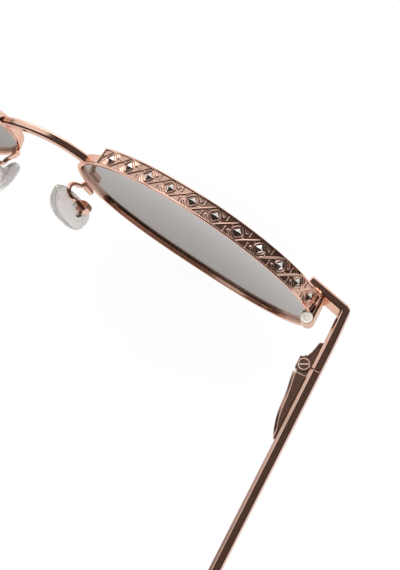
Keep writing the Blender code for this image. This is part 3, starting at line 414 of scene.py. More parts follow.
# %% [markdown]
# The lens is a dark neutral tint. Seen square on it is dark grey; seen along its face,
# as in the photograph, its surface mirrors the white table and it turns mid grey. Glass
# with a dark base colour does both by itself. The nose pad is clear silicone, slightly
# milky, and the tips are mottled brown acetate.

# %% Tinted lens, silicone and acetate
lens_tint, tree, shader = finish_of(
    "tinted_lens", 0.0, (0.15, 0.12, 0.10), 0.0, Transmission_Weight=1.0, IOR=1.5)
shade = spread(tree, noise(tree, 60.0, 1.0), 0.3, 0.7, 0.0, 1.0)
tint = between(tree, shade, (0.145, 0.115, 0.095), (0.155, 0.125, 0.105))
tree.links.new(tint, shader.inputs["Base Color"])

silicone, tree, shader = finish_of(
    "clear_silicone", 0.0, (0.99, 0.97, 0.96), 0.2, Transmission_Weight=0.6, IOR=1.30,
    Subsurface_Weight=0.4)
shader.inputs["Subsurface Radius"].default_value = (0.004, 0.003, 0.0025)
shader.inputs["Subsurface Scale"].default_value = 0.4
cloud = noise(tree, 420.0, 3.0)
tree.links.new(
    between(tree, spread(tree, cloud, 0.35, 0.65, 0.0, 1.0), (1.0, 0.965, 0.94), (0.98, 0.93, 0.90)),
    shader.inputs["Base Color"])
tree.links.new(spread(tree, cloud, 0.3, 0.7, 0.12, 0.3), shader.inputs["Roughness"])

acetate, tree, shader = finish_of("mottled_acetate", 0.0, (0.1, 0.045, 0.03), 0.18, IOR=1.5)
blotch = spread(tree, noise(tree, 190.0, 2.0, (1.0, 0.45, 1.0)), 0.46, 0.62, 0.0, 1.0)
tree.links.new(between(tree, blotch, (0.045, 0.018, 0.012), (0.28, 0.105, 0.03)), shader.inputs["Base Color"])
tree.links.new(spread(tree, noise(tree, 2600.0, 3.0), 0.3, 0.7, 0.12, 0.24), shader.inputs["Roughness"])
print("made", lens_tint.name, silicone.name, acetate.name)

# %% [markdown]
# The camera looks down on the wearer's right half from above and a little behind, as the
# photograph does. It is placed by the direction from the glasses to the camera, turned
# round that line, and set far back with a long lens so that nothing is drawn out.

# %% The camera, from above and behind the wearer's right
AIM = np.array([-42.028, 9.838, -1.198]) + SHIFT
AZIMUTH, ELEVATION, ROLL = np.radians([229.0987, 76.0934, -22.4042])
DISTANCE = 437.168
FOCAL_LENGTH = 131.396
back = np.array([np.sin(AZIMUTH) * np.cos(ELEVATION), -np.cos(AZIMUTH) * np.cos(ELEVATION),
                 np.sin(ELEVATION)])
level = np.cross(-back, (0.0, 0.0, 1.0))
level /= np.linalg.norm(level)
upright = np.cross(level, -back)
right = np.cos(ROLL) * level + np.sin(ROLL) * upright
up = -np.sin(ROLL) * level + np.cos(ROLL) * upright
camera_data = bpy.data.cameras.new("camera")
camera_data.lens = FOCAL_LENGTH
camera_data.clip_start = 0.01
camera = bpy.data.objects.new("camera", camera_data)
turn = np.eye(4)
turn[:3, 0], turn[:3, 1], turn[:3, 2] = right, up, back
turn[:3, 3] = (AIM + back * DISTANCE) * MM
camera.matrix_world = Matrix(turn.tolist())
bpy.context.scene.collection.objects.link(camera)
bpy.context.scene.camera = camera
bpy.context.scene.view_settings.view_transform = "Standard"
print("camera at", np.round(turn[:3, 3], 4), "m")

# %% [markdown]
# The floor is a plain pale sheet. A large white card lit from all sides would do, but it
# would throw light on the object too. So a ray from the camera, off gloss or through
# glass sees a floor that is nearly all glow, just white, and the tenth that is left is
# paint, which carries the soft shadow. The light that falls on things sees paint only.


# %% The floor
FLOOR_GLOW, GLOW_SHARE, FLOOR_REACH = 1.03, 0.9, 3.0


def seen(tree):
    """1 for rays from the camera, off gloss or through glass, and 0 for the light that falls on things."""
    path = tree.nodes.new("ShaderNodeLightPath")
    total = path.outputs["Is Camera Ray"]
    for other in ("Is Glossy Ray", "Is Transmission Ray"):
        both = tree.nodes.new("ShaderNodeMath")
        both.operation = "MAXIMUM"
        tree.links.new(total, both.inputs[0])
        tree.links.new(path.outputs[other], both.inputs[1])
        total = both.outputs[0]
    return total


floor_paint, tree, shader = finish_of("floor_paint", 0.0, (0.86, 0.86, 0.86), 0.9)
shader.inputs["Specular IOR Level"].default_value = 0.0
glow = tree.nodes.new("ShaderNodeEmission")
mixed = tree.nodes.new("ShaderNodeMixShader")
share = tree.nodes.new("ShaderNodeMath")
share.operation = "MULTIPLY"
share.inputs[1].default_value = GLOW_SHARE
tree.links.new(seen(tree), share.inputs[0])
tree.links.new(share.outputs[0], mixed.inputs["Fac"])
tree.links.new(shader.outputs[0], mixed.inputs[1])
tree.links.new(glow.outputs[0], mixed.inputs[2])
tree.links.new(mixed.outputs[0], tree.nodes["Material Output"].inputs["Surface"])
glow.inputs["Strength"].default_value = FLOOR_GLOW
floor_corners = np.array([(-1, -1, 0), (1, -1, 0), (1, 1, 0), (-1, 1, 0)]) * FLOOR_REACH
floor_mesh = bpy.data.meshes.new("floor")
floor_mesh.from_pydata(floor_corners, [], [(0, 1, 2, 3)])
floor_mesh.materials.append(floor_paint)
floor = bpy.data.objects.new("floor", floor_mesh)
bpy.context.scene.collection.objects.link(floor)
print("floor", floor.dimensions[:])

# %% [markdown]
# Polished metal shows only what stands round it, so the room matters more than the lamp.
# In the photograph the faces that look forwards are pale and those that look up or back
# are dark brown. So the metal mirrors a white wall in front of the glasses, a dim
# ceiling and back wall, and one lit panel high on the wearer's left, which puts bright
# patches on the band and the studs. Each is a range of the cosine between the ray and
# one direction. Every other ray sees plain white.


# %% The room: pale in front, dim overhead and behind, with one lit panel
def cosine_from(tree, place, direction):
    """The cosine between each ray and a direction: the dot product of the two unit vectors."""
    made = tree.nodes.new("ShaderNodeVectorMath")
    made.operation = "DOT_PRODUCT"
    made.inputs[1].default_value = direction / np.linalg.norm(direction)
    tree.links.new(place, made.inputs[0])
    return made.outputs["Value"]


world = bpy.data.worlds.new("room")
bpy.context.scene.world = world
world.use_nodes = True
tree = world.node_tree
tree.nodes.clear()
black, white = (0.0, 0.0, 0.0), (1.0, 1.0, 1.0)
place = tree.nodes.new("ShaderNodeTexCoord").outputs["Generated"]
overhead = spread(tree, cosine_from(tree, place, np.array([0.0, 0.0, 1.0])), 0.45, 0.95, 0.0, 1.0)
ceiling = between(tree, overhead, (0.030, 0.022, 0.018), (0.078, 0.060, 0.054))
in_front = spread(tree, cosine_from(tree, place, np.array([0.25, -0.80, -0.50])), 0.03, 0.18, 0.0, 1.0)
room = between(tree, in_front, black, white)
tree.links.new(ceiling, room.node.inputs[FIRST_COLOUR])
on_panel = spread(tree, cosine_from(tree, place, np.array([0.47, -0.25, 0.84])), 0.954, 0.970, 0.0, 1.0)
lit = between(tree, on_panel, black, white)
tree.links.new(room, lit.node.inputs[FIRST_COLOUR])
path = tree.nodes.new("ShaderNodeLightPath")
shown = between(tree, path.outputs["Is Glossy Ray"], white, white)
tree.links.new(lit, shown.node.inputs[SECOND_COLOUR])
sky = tree.nodes.new("ShaderNodeBackground")
tree.links.new(shown, sky.inputs["Color"])
out = tree.nodes.new("ShaderNodeOutputWorld")
tree.links.new(sky.outputs[0], out.inputs["Surface"])
print("room nodes:", len(tree.nodes))


# %% [markdown]
# One soft lamp stands in front of the glasses and above them. It is weak, because the
# room already lights the object evenly; it only gives the shadow on the floor a side.


# %% The soft lamp
def softbox(name, where, towards, wide, tall, power):
    """A rectangular lamp at a place, facing a point, both in metres."""
    data = bpy.data.lights.new(name, "AREA")
    data.shape = "RECTANGLE"
    data.size, data.size_y, data.energy = wide, tall, power
    lamp = bpy.data.objects.new(name, data)
    away = np.asarray(where, dtype=float) - towards
    away /= np.linalg.norm(away)
    flat = np.cross((0.0, 0.0, 1.0), away)
    flat /= np.linalg.norm(flat)
    turn = np.eye(4)
    turn[:3, 0], turn[:3, 1], turn[:3, 2] = flat, np.cross(away, flat), away
    turn[:3, 3] = where
    lamp.matrix_world = Matrix(turn.tolist())
    lamp.visible_camera = False
    bpy.context.scene.collection.objects.link(lamp)
    return lamp


middle = np.array([0.0, -0.02, 0.02])
softbox("front_softbox", (0.35, -0.95, 0.55), middle, 0.7, 0.5, 2.0)
print("lamps:", len(bpy.data.lights))

# %% [markdown]
# The lens opening is the curve from which the rim, the lens and the band all grow. It
# is four quarters of superellipses with a shared width; the upper half leans outwards,
# so its peak sits towards the temple. The whole curve lies on the lens's sphere and is
# turned a little, with the rims swept back and the tops leaning forward.

# %% The lens opening
EYE_WIDTH, EYE_RISE, EYE_DROP, PEAK_SHIFT = 58.0, 22.65, 22.24, 2.67
TOP_NASAL, TOP_TEMPORAL, LOW_NASAL, LOW_TEMPORAL = 1.92, 2.345, 2.166, 2.148
LENS_RADIUS = 260.0
YAW, LEAN = np.radians([7.18, 3.0])
HALF_BRIDGE = 8.5
OPENING_AT = np.array([HALF_BRIDGE + EYE_WIDTH / 2 * np.cos(YAW), 0.0, 0.0])
turn_yaw = np.array([[np.cos(YAW), -np.sin(YAW), 0], [np.sin(YAW), np.cos(YAW), 0], [0, 0, 1]])
turn_up = np.array([[1, 0, 0], [0, -np.sin(LEAN), -np.cos(LEAN)], [0, np.cos(LEAN), -np.sin(LEAN)]])
OPENING_TURN = turn_yaw @ turn_up


def opening(angle):
    """The edge at an angle: u = sign(cos)·|cos|^(2/power)·reach + shift, v the same with sin and rise."""
    c, s = np.cos(angle), np.sin(angle)
    top, nasal = s >= 0, c < 0
    power = np.where(top, np.where(nasal, TOP_NASAL, TOP_TEMPORAL), np.where(nasal, LOW_NASAL, LOW_TEMPORAL))
    shift = np.where(top, PEAK_SHIFT, 0.0)
    reach = EYE_WIDTH / 2 + np.where(nasal, shift, -shift)
    rise = np.where(top, EYE_RISE, EYE_DROP)
    u = np.sign(c) * np.abs(c) ** (2 / power) * reach + shift
    v = np.sign(s) * np.abs(s) ** (2 / power) * rise
    return np.stack([u, v], axis=-1)


def outward(angle):
    """The direction square to the edge, from points half a degree to each side."""
    beside = np.radians(0.5)
    along = opening(angle + beside) - opening(angle - beside)
    along = along / np.linalg.norm(along, axis=-1, keepdims=True)
    return np.stack([along[..., 1], -along[..., 0]], axis=-1)


def sag(flat):
    """How far a sphere of the lens's radius falls back at (u, v): R − √(R² − u² − v²)."""
    return LENS_RADIUS - np.sqrt(LENS_RADIUS ** 2 - np.sum(flat ** 2, axis=-1))


def face(flat_and_forward):
    """From (u, v, forward) beside the lens to the maker's X, Y, Z."""
    return flat_and_forward @ OPENING_TURN.T + OPENING_AT


def beside_rim(angle, out, forward):
    """A point `out` from the edge in the lens plane and `forward` of the sphere, as X, Y, Z."""
    angle, out, forward = np.broadcast_arrays(angle, out, forward)
    edge = opening(angle)
    flat = edge + outward(angle) * out[..., None]
    return face(np.concatenate([flat, (forward - sag(edge))[..., None]], axis=-1))


print("opening, mm:", np.ptp(opening(np.linspace(0, 2 * np.pi, 721)), axis=0).round(2))

# %% [markdown]
# The rim, or eyewire, is a flat wire rolled with a groove on its inner side, bent round
# the opening and left open by 0.3 mm where the closing block clamps it.
# Its section is drawn once, with turned corners, and carried round.

# %% The grooved rims
RIM_THICK, RIM_FRONT, RIM_BACK = 1.0, 1.0, 1.35
GROOVE_AT, GROOVE_DEEP, RIM_GAP = 0.1, 0.5, 0.3
rim_section = turned_corners(
    [(0.0, RIM_FRONT), (RIM_THICK, RIM_FRONT), (RIM_THICK, -RIM_BACK), (0.0, -RIM_BACK),
     (0.0, GROOVE_AT - GROOVE_DEEP), (GROOVE_DEEP, GROOVE_AT), (0.0, GROOVE_AT + GROOVE_DEEP)],
    [0.12, 0.36, 0.40, 0.22, 0.05, 0.05, 0.05])
BLOCK_LOW, BLOCK_TOP = 2.0, 7.0


def height_angle(height):
    """Where the opening's temporal side stands at a height: asin((height / rise) ^ (power / 2))."""
    return np.arcsin((height / np.cos(LEAN) / EYE_RISE) ** (TOP_TEMPORAL / 2))


split_angle = height_angle((BLOCK_LOW + BLOCK_TOP) / 2)
half_gap = RIM_GAP / EYE_WIDTH
angles = np.linspace(split_angle + half_gap, split_angle - half_gap + 2 * np.pi, 520)
rim_grid = beside_rim(angles[:, None], rim_section[None, :, 0], rim_section[None, :, 1])
pair("eyewire", [(rim_grid, {})], rose_gold, "front", ["eyewire_SIDE"])

# %% [markdown]
# The lens is two parallel spheres, 1.1 mm apart, joined by a V edge that sits in the
# groove. It is skinned from the middle of its front, out over the edge, to the middle
# of its back.

# %% The lenses
LENS_THICK = 1.1
shares = np.array([1e-4, 0.12, 0.25, 0.4, 0.55, 0.7, 0.82, 0.92, 0.97])
around = np.arange(360) * 2 * np.pi / 360
flat = opening(around)[None] * shares[:, None, None]
front = np.concatenate([flat, (LENS_THICK / 2 - sag(flat))[..., None]], axis=-1)
rear = front[::-1] - (0.0, 0.0, LENS_THICK)
edge_profile = np.array([(-0.10, 0.55), (-0.06, 0.54), (-0.05, 0.51), (-0.05, 0.45), (0.4, 0.0),
                         (-0.05, -0.45), (-0.05, -0.51), (-0.06, -0.54), (-0.10, -0.55)])
edge = opening(around)
rim_flat = edge[None] + outward(around)[None] * edge_profile[:, :1, None]
rim_back = edge_profile[:, 1:] - sag(edge)[None]
edge_rows = np.concatenate([rim_flat, rim_back[..., None]], axis=-1)
lens_grid = face(np.concatenate([front, edge_rows, rear]) + (0.0, 0.0, GROOVE_AT))
pair("lens", [(lens_grid, {})], lens_tint, "front", ["lens_SIDE"])

# %% [markdown]
# The brow band is the showpiece: a cast channel with thin lips on both edges and an
# ornament that repeats with each stud. Round every stud runs a raised, lozenge-shaped
# bezel. A rounded strand starts in a hook beside the stud, passes under it, climbs
# across the band and passes over the next stud to end in a second hook, so the pattern
# looks the same turned half way round. Beads and short ticks fill the gaps.
# It could be sculpted, but a height for each point of a grid keeps every repeat alike.

# %% The ornament's lines, in millimetres from a stud: x towards the temple, y to the front
PITCH = 5.566
half_strand = np.array([
    (-0.72, -2.05), (-1.22, -1.62), (-1.66, -1.16), (-1.84, -0.90), (-1.72, -0.70), (-1.46, -0.76),
    (-1.08, -1.14), (-0.66, -1.56), (-0.20, -1.76), (0.30, -1.78), (0.76, -1.60), (1.30, -1.12),
    (2.02, -0.56), (PITCH / 2, 0.0)])


def smooth_route(points, between_points):
    """A curve through the points: on each stretch, the Catmull-Rom cubic of the four nearest."""
    points = np.asarray(points, dtype=float)
    padded = np.vstack([2 * points[0] - points[1], points, 2 * points[-1] - points[-2]])
    t = (np.arange(between_points) / between_points)[None, :, None]
    first, start, end, last = (padded[i:len(padded) - 3 + i][:, None] for i in range(4))
    bend = 2 * first - 5 * start + 4 * end - last
    twist = 3 * start - first - 3 * end + last
    curve = 0.5 * (2 * start + (end - first) * t + bend * t ** 2 + twist * t ** 3)
    return np.vstack([curve.reshape(-1, points.shape[1]), points[-1:]])


other_half = (np.array([PITCH, 0.0]) - half_strand)[::-1][1:]
strand = smooth_route(np.vstack([half_strand, other_half]), 5)
tick = np.array([(2.60, 0.62), (2.56, 1.2), (2.60, 1.80)])
print("strand points:", len(strand), "reach:", strand.min(axis=0), strand.max(axis=0))


# %% Heights of the ornament
def distance_to(points, path):
    """The shortest distance from each point to a path of straight steps."""
    start, step = path[:-1], np.diff(path, axis=0)
    away = points[:, None, :] - start[None]
    share = np.clip(np.sum(away * step, axis=-1) / np.sum(step ** 2, axis=-1), 0.0, 1.0)
    return np.min(np.linalg.norm(away - share[..., None] * step, axis=-1), axis=1)


def ridge(distance, half_width, tall):
    """A rounded ridge: tall·(1 + cos(π·d / half_width)) / 2, and nothing further away."""
    return tall * (0.5 + 0.5 * np.cos(np.pi * np.clip(np.abs(distance) / half_width, 0.0, 1.0)))


STRAND_HALF = 0.27
TICK_HALF, TICK_TALL = 0.16, 0.08
BEAD_AT, BEAD_HALF, BEAD_TALL = np.array([-1.62, 0.46]), 0.26, 0.12
BEZEL_AT, BEZEL_POWER, BEZEL_SCALE, BEZEL_HALF, BEZEL_TALL = 1.26, 1.4, 0.8, 0.17, 0.17


def ornament(x, y):
    """How high the casting stands over its field, at x from the nearest stud and y from the middle.

    The highest of the ridges counts. The bezel is where (|x|^p + |y|^p)^(1/p) is BEZEL_AT.
    """
    points = np.stack([x.ravel(), y.ravel()], axis=-1)
    tall = np.zeros(len(points))
    for hop in (-1, 0, 1):
        here = np.array([hop * PITCH, 0.0])
        tall = np.maximum(tall, ridge(distance_to(points, strand + here), STRAND_HALF, STRAND_TALL))
        for mirror in (1.0, -1.0):
            bar = tick * mirror + here
            tall = np.maximum(tall, ridge(distance_to(points, bar), TICK_HALF, TICK_TALL))
            for bead in (bar[0], bar[-1], BEAD_AT * mirror + here):
                gap = np.linalg.norm(points - bead, axis=-1)
                tall = np.maximum(tall, ridge(gap, BEAD_HALF, BEAD_TALL))
    lozenge = np.sum(np.abs(points) ** BEZEL_POWER, axis=-1) ** (1 / BEZEL_POWER)
    tall = np.maximum(tall, ridge((lozenge - BEZEL_AT) * BEZEL_SCALE, BEZEL_HALF, BEZEL_TALL))
    return tall.reshape(x.shape)


PER_CELL = 80
cell_x = (np.arange(PER_CELL) / PER_CELL - 0.5) * PITCH
BAND_BACK, BAND_FRONT = 1.71, 2.52
STUD_AT = (BAND_FRONT - BAND_BACK) / 2
across_top = np.linspace(-BAND_BACK, BAND_FRONT, 74)
cell = ornament(*np.broadcast_arrays(cell_x[:, None], (across_top - STUD_AT)[None, :]))
print("ornament heights, mm:", cell.min().round(3), "to", cell.max().round(3))

# %% [markdown]
# The band's length is measured along its own field. Studs stand 5.566 mm apart, the
# last one 11.16 mm short of the opening's outer point, so a table of arc length against
# angle gives the place of every row. The height over the field is kept on each point as
# "relief", and the finish reads it to paint shade into the hollows.
# "relief", and the finish reads it to darken the hollows.

# %% The brow bands
BAND_IN, FIELD, LIP_TOP, MEASURED_AT = 1.05, 1.40, 1.70, 1.45
STUDS, LAST_FROM_END, BAND_PAST_STUD = 11, 11.16, 3.5
LIP_WIDE, END_LIP_WIDE, LIP_SLOPE, LIP_ROUND = 0.46, 0.40, 0.14, 0.12
arc_angles = np.linspace(np.pi, 0.0, 2401)
arc_points = beside_rim(arc_angles, MEASURED_AT, 0.0)
arc_length = np.concatenate([[0.0], np.cumsum(np.linalg.norm(np.diff(arc_points, axis=0), axis=1))])
LAST_STUD = arc_length[-1] - LAST_FROM_END
FIRST_STUD = LAST_STUD - (STUDS - 1) * PITCH
first_row = int(np.ceil(-BAND_PAST_STUD / PITCH * PER_CELL))
rows = np.arange(first_row, (STUDS - 1) * PER_CELL - first_row + 1)
row_angle = np.interp(FIRST_STUD + rows * PITCH / PER_CELL, arc_length, arc_angles)
tall = cell[(rows + PER_CELL // 2) % PER_CELL]
rim_gap = np.minimum(across_top + BAND_BACK, BAND_FRONT - across_top)
lip = eased(np.clip((LIP_WIDE - rim_gap) / LIP_SLOPE, 0.0, 1.0))
end_gap = np.minimum(rows - rows[0], rows[-1] - rows) * PITCH / PER_CELL
end_lip = np.clip((END_LIP_WIDE - end_gap) / LIP_SLOPE, 0.0, 1.0)[:, None]
lip_height = np.maximum(lip[None], end_lip) * (LIP_TOP - FIELD)
top_out = FIELD + np.maximum(tall, lip_height) - rounding(rim_gap, LIP_ROUND)[None] * 0.8
wall = np.array([0.0, 0.5, 0.85])
low_out = np.broadcast_to(BAND_IN + wall * (LIP_TOP - LIP_ROUND - BAND_IN), (len(rows), 3))
outs = np.concatenate([low_out, top_out, low_out[:, ::-1]], axis=1)
forwards = np.concatenate([np.full(3, -BAND_BACK), across_top, np.full(3, BAND_FRONT)])
band_grid = beside_rim(row_angle[:, None], outs, forwards[None])
# The band's walls get the full relief, so they stay smooth and carry no painted shade.
polished_and_unshaded = np.full_like(low_out, LIP_TOP - FIELD)
relief_height = np.concatenate([polished_and_unshaded, top_out - FIELD, polished_and_unshaded], axis=1)
pair("brow_band", [(band_grid, {"values": {"relief": relief_height}})], cast_gold, "front",
     ["brow_band_SIDE"])

# %% [markdown]
# Each stud is a small mirror-bright pyramid, set cornerwise in its bezel. Rings of
# rounded squares shrink from the foot to the tip; the roundness keeps its ridges from
# looking like paper folds, and the holding points keep its four faces flat.

# %% The studs
STUD_HALF, STUD_TIP, STUD_FOOT, STUD_ROUND = 0.75, 0.55, 0.22, 0.05
heights = np.array([0.0, STUD_FOOT - 0.02, STUD_FOOT, STUD_FOOT + 0.03, STUD_FOOT + STUD_TIP * 0.9,
                    STUD_FOOT + STUD_TIP * 0.95])
halves = np.array([STUD_HALF, STUD_HALF, STUD_HALF - 0.015, STUD_HALF - 0.045, STUD_HALF * 0.1, 0.02])
for number in range(STUDS):
    angle = np.interp(FIRST_STUD + number * PITCH, arc_length, arc_angles)
    foot = beside_rim(angle, MEASURED_AT - STUD_FOOT, STUD_AT)
    away = face(np.append(outward(angle), 0.0)) - OPENING_AT
    ahead = OPENING_TURN[:, 2]
    along = np.cross(ahead, away)
    slant, other_slant = (along + ahead) / np.sqrt(2), (ahead - along) / np.sqrt(2)
    centres = foot + away * heights[:, None]
    grid = carried(centres, slant, other_slant, halves, halves, np.minimum(STUD_ROUND, halves), 3)
    label = f"stud_{number + 1:02d}"
    pair(label, [(grid, {})], dark_mirror, "front", [f"{label}_SIDE"])

# %% [markdown]
# The end piece is a tall plate soldered to the front of the band's outer end. It turns
# a tight corner into the bar that carries the hinge; under the corner its lower edge
# climbs to the bar. The skin is a rounded rectangle carried between two plan lines, an
# inner and an outer one, so its width and height change on the way.

# %% Where the end piece's two lines start and turn
SWEEP = np.radians(15.0)
way = np.array([np.cos(SWEEP), np.sin(SWEEP)])
square = np.array([-np.sin(SWEEP), np.cos(SWEEP)])
PLATE_THICK, PLATE_LOW, PLATE_LEAN, PLATE_OVERLAP, PLATE_AHEAD = 1.75, 1.0, 0.075, 3.6, 0.4
BAR_OUT, BAR_WIDTH, BAR_HEIGHT, BOW = 74.1002, 2.2, 3.2, 0.3
CORNER_ROUND, INNER_ROUND, NARROW = 1.2, 0.3, 0.25
BAR_LOW, BAR_MID = END_TOP - BAR_HEIGHT, END_TOP - BAR_HEIGHT / 2
INBOARD, STRAIGHT_BEFORE_AXIS = 1.61, 5.4
AXIS = np.array([BAR_OUT - BAR_WIDTH - INBOARD, 16.6])
CORNER_OUT = BAR_OUT - BOW
CORNER_IN = CORNER_OUT - BAR_WIDTH
band_stop = np.interp(LAST_STUD + BAND_PAST_STUD, arc_length, arc_angles)
seat_angles = np.linspace(band_stop, height_angle(END_TOP), 5)[:, None]
band_edge = beside_rim(seat_angles, [BAND_IN, LIP_TOP], BAND_FRONT)[..., :2].reshape(-1, 2)
seat = band_edge[np.argmin(band_edge @ square)] - square * PLATE_AHEAD
back_start = seat - way * PLATE_OVERLAP
front_start = back_start - square * PLATE_THICK
centre_x = CORNER_OUT - CORNER_ROUND
front_at = front_start[1] + (centre_x - front_start[0]) * np.tan(SWEEP)
corner = np.array([centre_x, front_at + CORNER_ROUND / np.cos(SWEEP)])
inner_y = back_start[1] + (CORNER_IN - back_start[0]) * np.tan(SWEEP)
STRAIGHT = AXIS[1] - STRAIGHT_BEFORE_AXIS


def bowed(y):
    """The bar's outer X: it bows out from the corner as 1 − (1 − t)^1.32 and then runs straight."""
    t = np.clip((y - corner[1]) / (STRAIGHT - corner[1]), 0.0, 1.0)
    return CORNER_OUT + BOW * (1.0 - (1.0 - t) ** 1.32)


TURN_POINTS, PLATE_POINTS = 12, 20
outer_turn = arc(corner, CORNER_ROUND, np.degrees(SWEEP) - 90.0, 0.0, TURN_POINTS)
turn_in = CORNER_IN + NARROW
turn_y = inner_y + NARROW * np.tan(SWEEP)
three_corners = [(turn_in - 5.0, turn_y - 5.0 * np.tan(SWEEP)), (turn_in, turn_y), (turn_in, turn_y + 5.0)]
middle_corner = slice(TURN_POINTS + 3, 2 * TURN_POINTS + 3)
inner_turn = turned_corners(three_corners, INNER_ROUND, TURN_POINTS)[middle_corner]
plate_run = (outer_turn[0] - front_start) @ way
inner_run = (inner_turn[0] - back_start) @ way
print("the end piece turns at", corner.round(2), "and runs straight from Y", round(float(STRAIGHT), 2))

# %% The end pieces
EDGE = 0.3
begin = stops(plate_run, EDGE, 14)[:PLATE_POINTS]
outer_line = front_start + begin[:, None] * way
inner_line = back_start + (begin * inner_run / plate_run)[:, None] * way
bend_y = np.linspace(corner[1], STRAIGHT, 14)[1:]
bar_end = SEAM - 0.05 - np.array([0.1, 0.03, 0.0])
tail_y = np.concatenate([np.linspace(STRAIGHT, SEAM - 0.25, 6)[1:], bar_end])
outer_y = np.concatenate([bend_y, tail_y])
inner_bend_y = np.interp(bend_y, [corner[1], STRAIGHT], [inner_turn[-1][1], STRAIGHT])
inner_ys = np.concatenate([inner_bend_y, tail_y])
outer_line = np.vstack([outer_line, outer_turn, np.stack([bowed(outer_y), outer_y], axis=-1)])
slim = np.clip((STRAIGHT - inner_ys) / (STRAIGHT - corner[1]), 0.0, 1.0) ** 1.5
inner_bar = np.stack([bowed(inner_ys) - BAR_WIDTH + NARROW * slim, inner_ys], axis=-1)
inner_line = np.vstack([inner_line, inner_turn, inner_bar])
middle_line = (outer_line + inner_line) / 2
reach = outer_line - inner_line
half_reach = np.linalg.norm(reach, axis=1) / 2
across = reach / half_reach[:, None] / 2
curl = np.zeros(len(reach))
curl[:PLATE_POINTS] = rounding(begin, EDGE)
curl[-3:] = (0.0, 0.04, 0.1)
level = np.zeros((len(reach), 1))
on_bar = np.clip((np.arange(len(reach)) - PLATE_POINTS) / 16.0, 0.0, 1.0)
outer_bevel, inner_bevel = 0.36 - 0.22 * on_bar, 0.30 + 0.30 * on_bar
end_grid = carried(np.hstack([middle_line, level + BAR_MID]), np.hstack([across, level]), (0.0, 0.0, 1.0),
                   half_reach - curl, BAR_HEIGHT / 2 - curl, outer_bevel, 0, inner_bevel)
climb = np.maximum((end_grid[..., 0] - CORNER_IN) / 2.3, (end_grid[..., 1] - inner_y + 0.2) / 0.9)
climb = eased(np.clip(climb, 0.0, 1.0))
end_grid[..., 2] -= np.where(end_grid[..., 2] < BAR_MID, (1.0 - climb) * (BAR_LOW - PLATE_LOW), 0.0)
end_grid[..., 1] += (1.0 - climb) * (END_TOP - end_grid[..., 2]) * PLATE_LEAN
pair("end_piece", [(end_grid, {})], rose_gold, "front", ["end_piece_SIDE"])

# %% [markdown]
# The closing block clamps the split rim: a web outside the rim and a round lobe behind
# it, cut in two at half height, with a screw down through the lobe. The screw's head is
# domed and has a round groove in it.

# %% The closing blocks and their screws
block_angles = height_angle(np.array([BLOCK_LOW, BLOCK_TOP]))
web_in = beside_rim(block_angles, RIM_THICK, RIM_FRONT)[:, 0].max()
WEB_WIDE, LOBE, OVER_RIM, HALF_SPLIT = 0.85, 1.4, 0.25, 0.05
web_out = web_in + WEB_WIDE
lobe_front = beside_rim(block_angles, RIM_THICK, -RIM_BACK)[:, 1].max()
lobe = np.array([web_out - LOBE, lobe_front + LOBE * 0.7])
web_in, lobe_front = web_in - OVER_RIM, lobe_front - OVER_RIM
web_mid = (web_in + web_out) / 2
web_front = seat[1] + (web_mid - seat[0]) * np.tan(SWEEP) + (web_mid - web_in + 0.05) / np.cos(SWEEP)
block_plan = np.vstack([
    arc((web_mid, web_front), web_mid - web_in, 180, 360, 13),
    [(web_out, web_front + 0.3), (web_out, lobe[1] - 0.3)], arc(lobe, LOBE, 0, 180, 29),
    [(lobe[0] - LOBE, lobe_front + 0.1), (lobe[0] - LOBE + 0.1, lobe_front),
     (web_in - 0.1, lobe_front), (web_in, lobe_front - 0.1), (web_in, web_front + 0.3)]])
split_height = (BLOCK_LOW + BLOCK_TOP) / 2
pair("closing_block_upper", [(plate(block_plan, split_height + HALF_SPLIT, BLOCK_TOP, 0.06, 0.42), {})],
     rose_gold, "front", ["closing_block_upper_SIDE"])
pair("closing_block_lower", [(plate(block_plan, BLOCK_LOW, split_height - HALF_SPLIT, 0.42, 0.06), {})],
     rose_gold, "front", ["closing_block_lower_SIDE"])
head = BLOCK_TOP + 0.05
screw_middle = [(0.001, head + 0.36), (0.3, head + 0.36), (0.42, head + 0.34), (0.46, head + 0.30)]
screw_groove = [(0.48, head + 0.10), (0.58, head + 0.10), (0.6, head + 0.34), (0.64, head + 0.39)]
screw_dome = [(0.7, head + 0.40), (0.9, head + 0.385), (1.08, head + 0.33), (1.19, head + 0.24),
              (1.24, head + 0.14), (1.25, head + 0.05), (1.23, head + 0.01), (1.2, head)]
screw_shank = [(0.7, head), (0.62, head - 0.04), (0.6, head - 0.1), (0.6, BLOCK_LOW + 0.7),
               (0.5, BLOCK_LOW + 0.6), (0.001, BLOCK_LOW + 0.6)]
screw_profile = screw_middle + screw_groove + screw_dome + screw_shank
pair("rim_screw", [(spun(screw_profile, (*lobe, 0.0)), {})], matt_steel, "front",
     ["rim_screw_SIDE"])

# %% [markdown]
# The hinge leaf is forked. Its two ears are rings: the outline of the ear on the
# outside, the screw's bore on the inside, and rounded rims between. A web joins them
# ahead of the knuckle. The knuckle turns between the ears, and its sprung rod slides
# in the spring housing when the temple is pressed outwards. Plans here are drawn about
# AXIS, the middle of the screw.


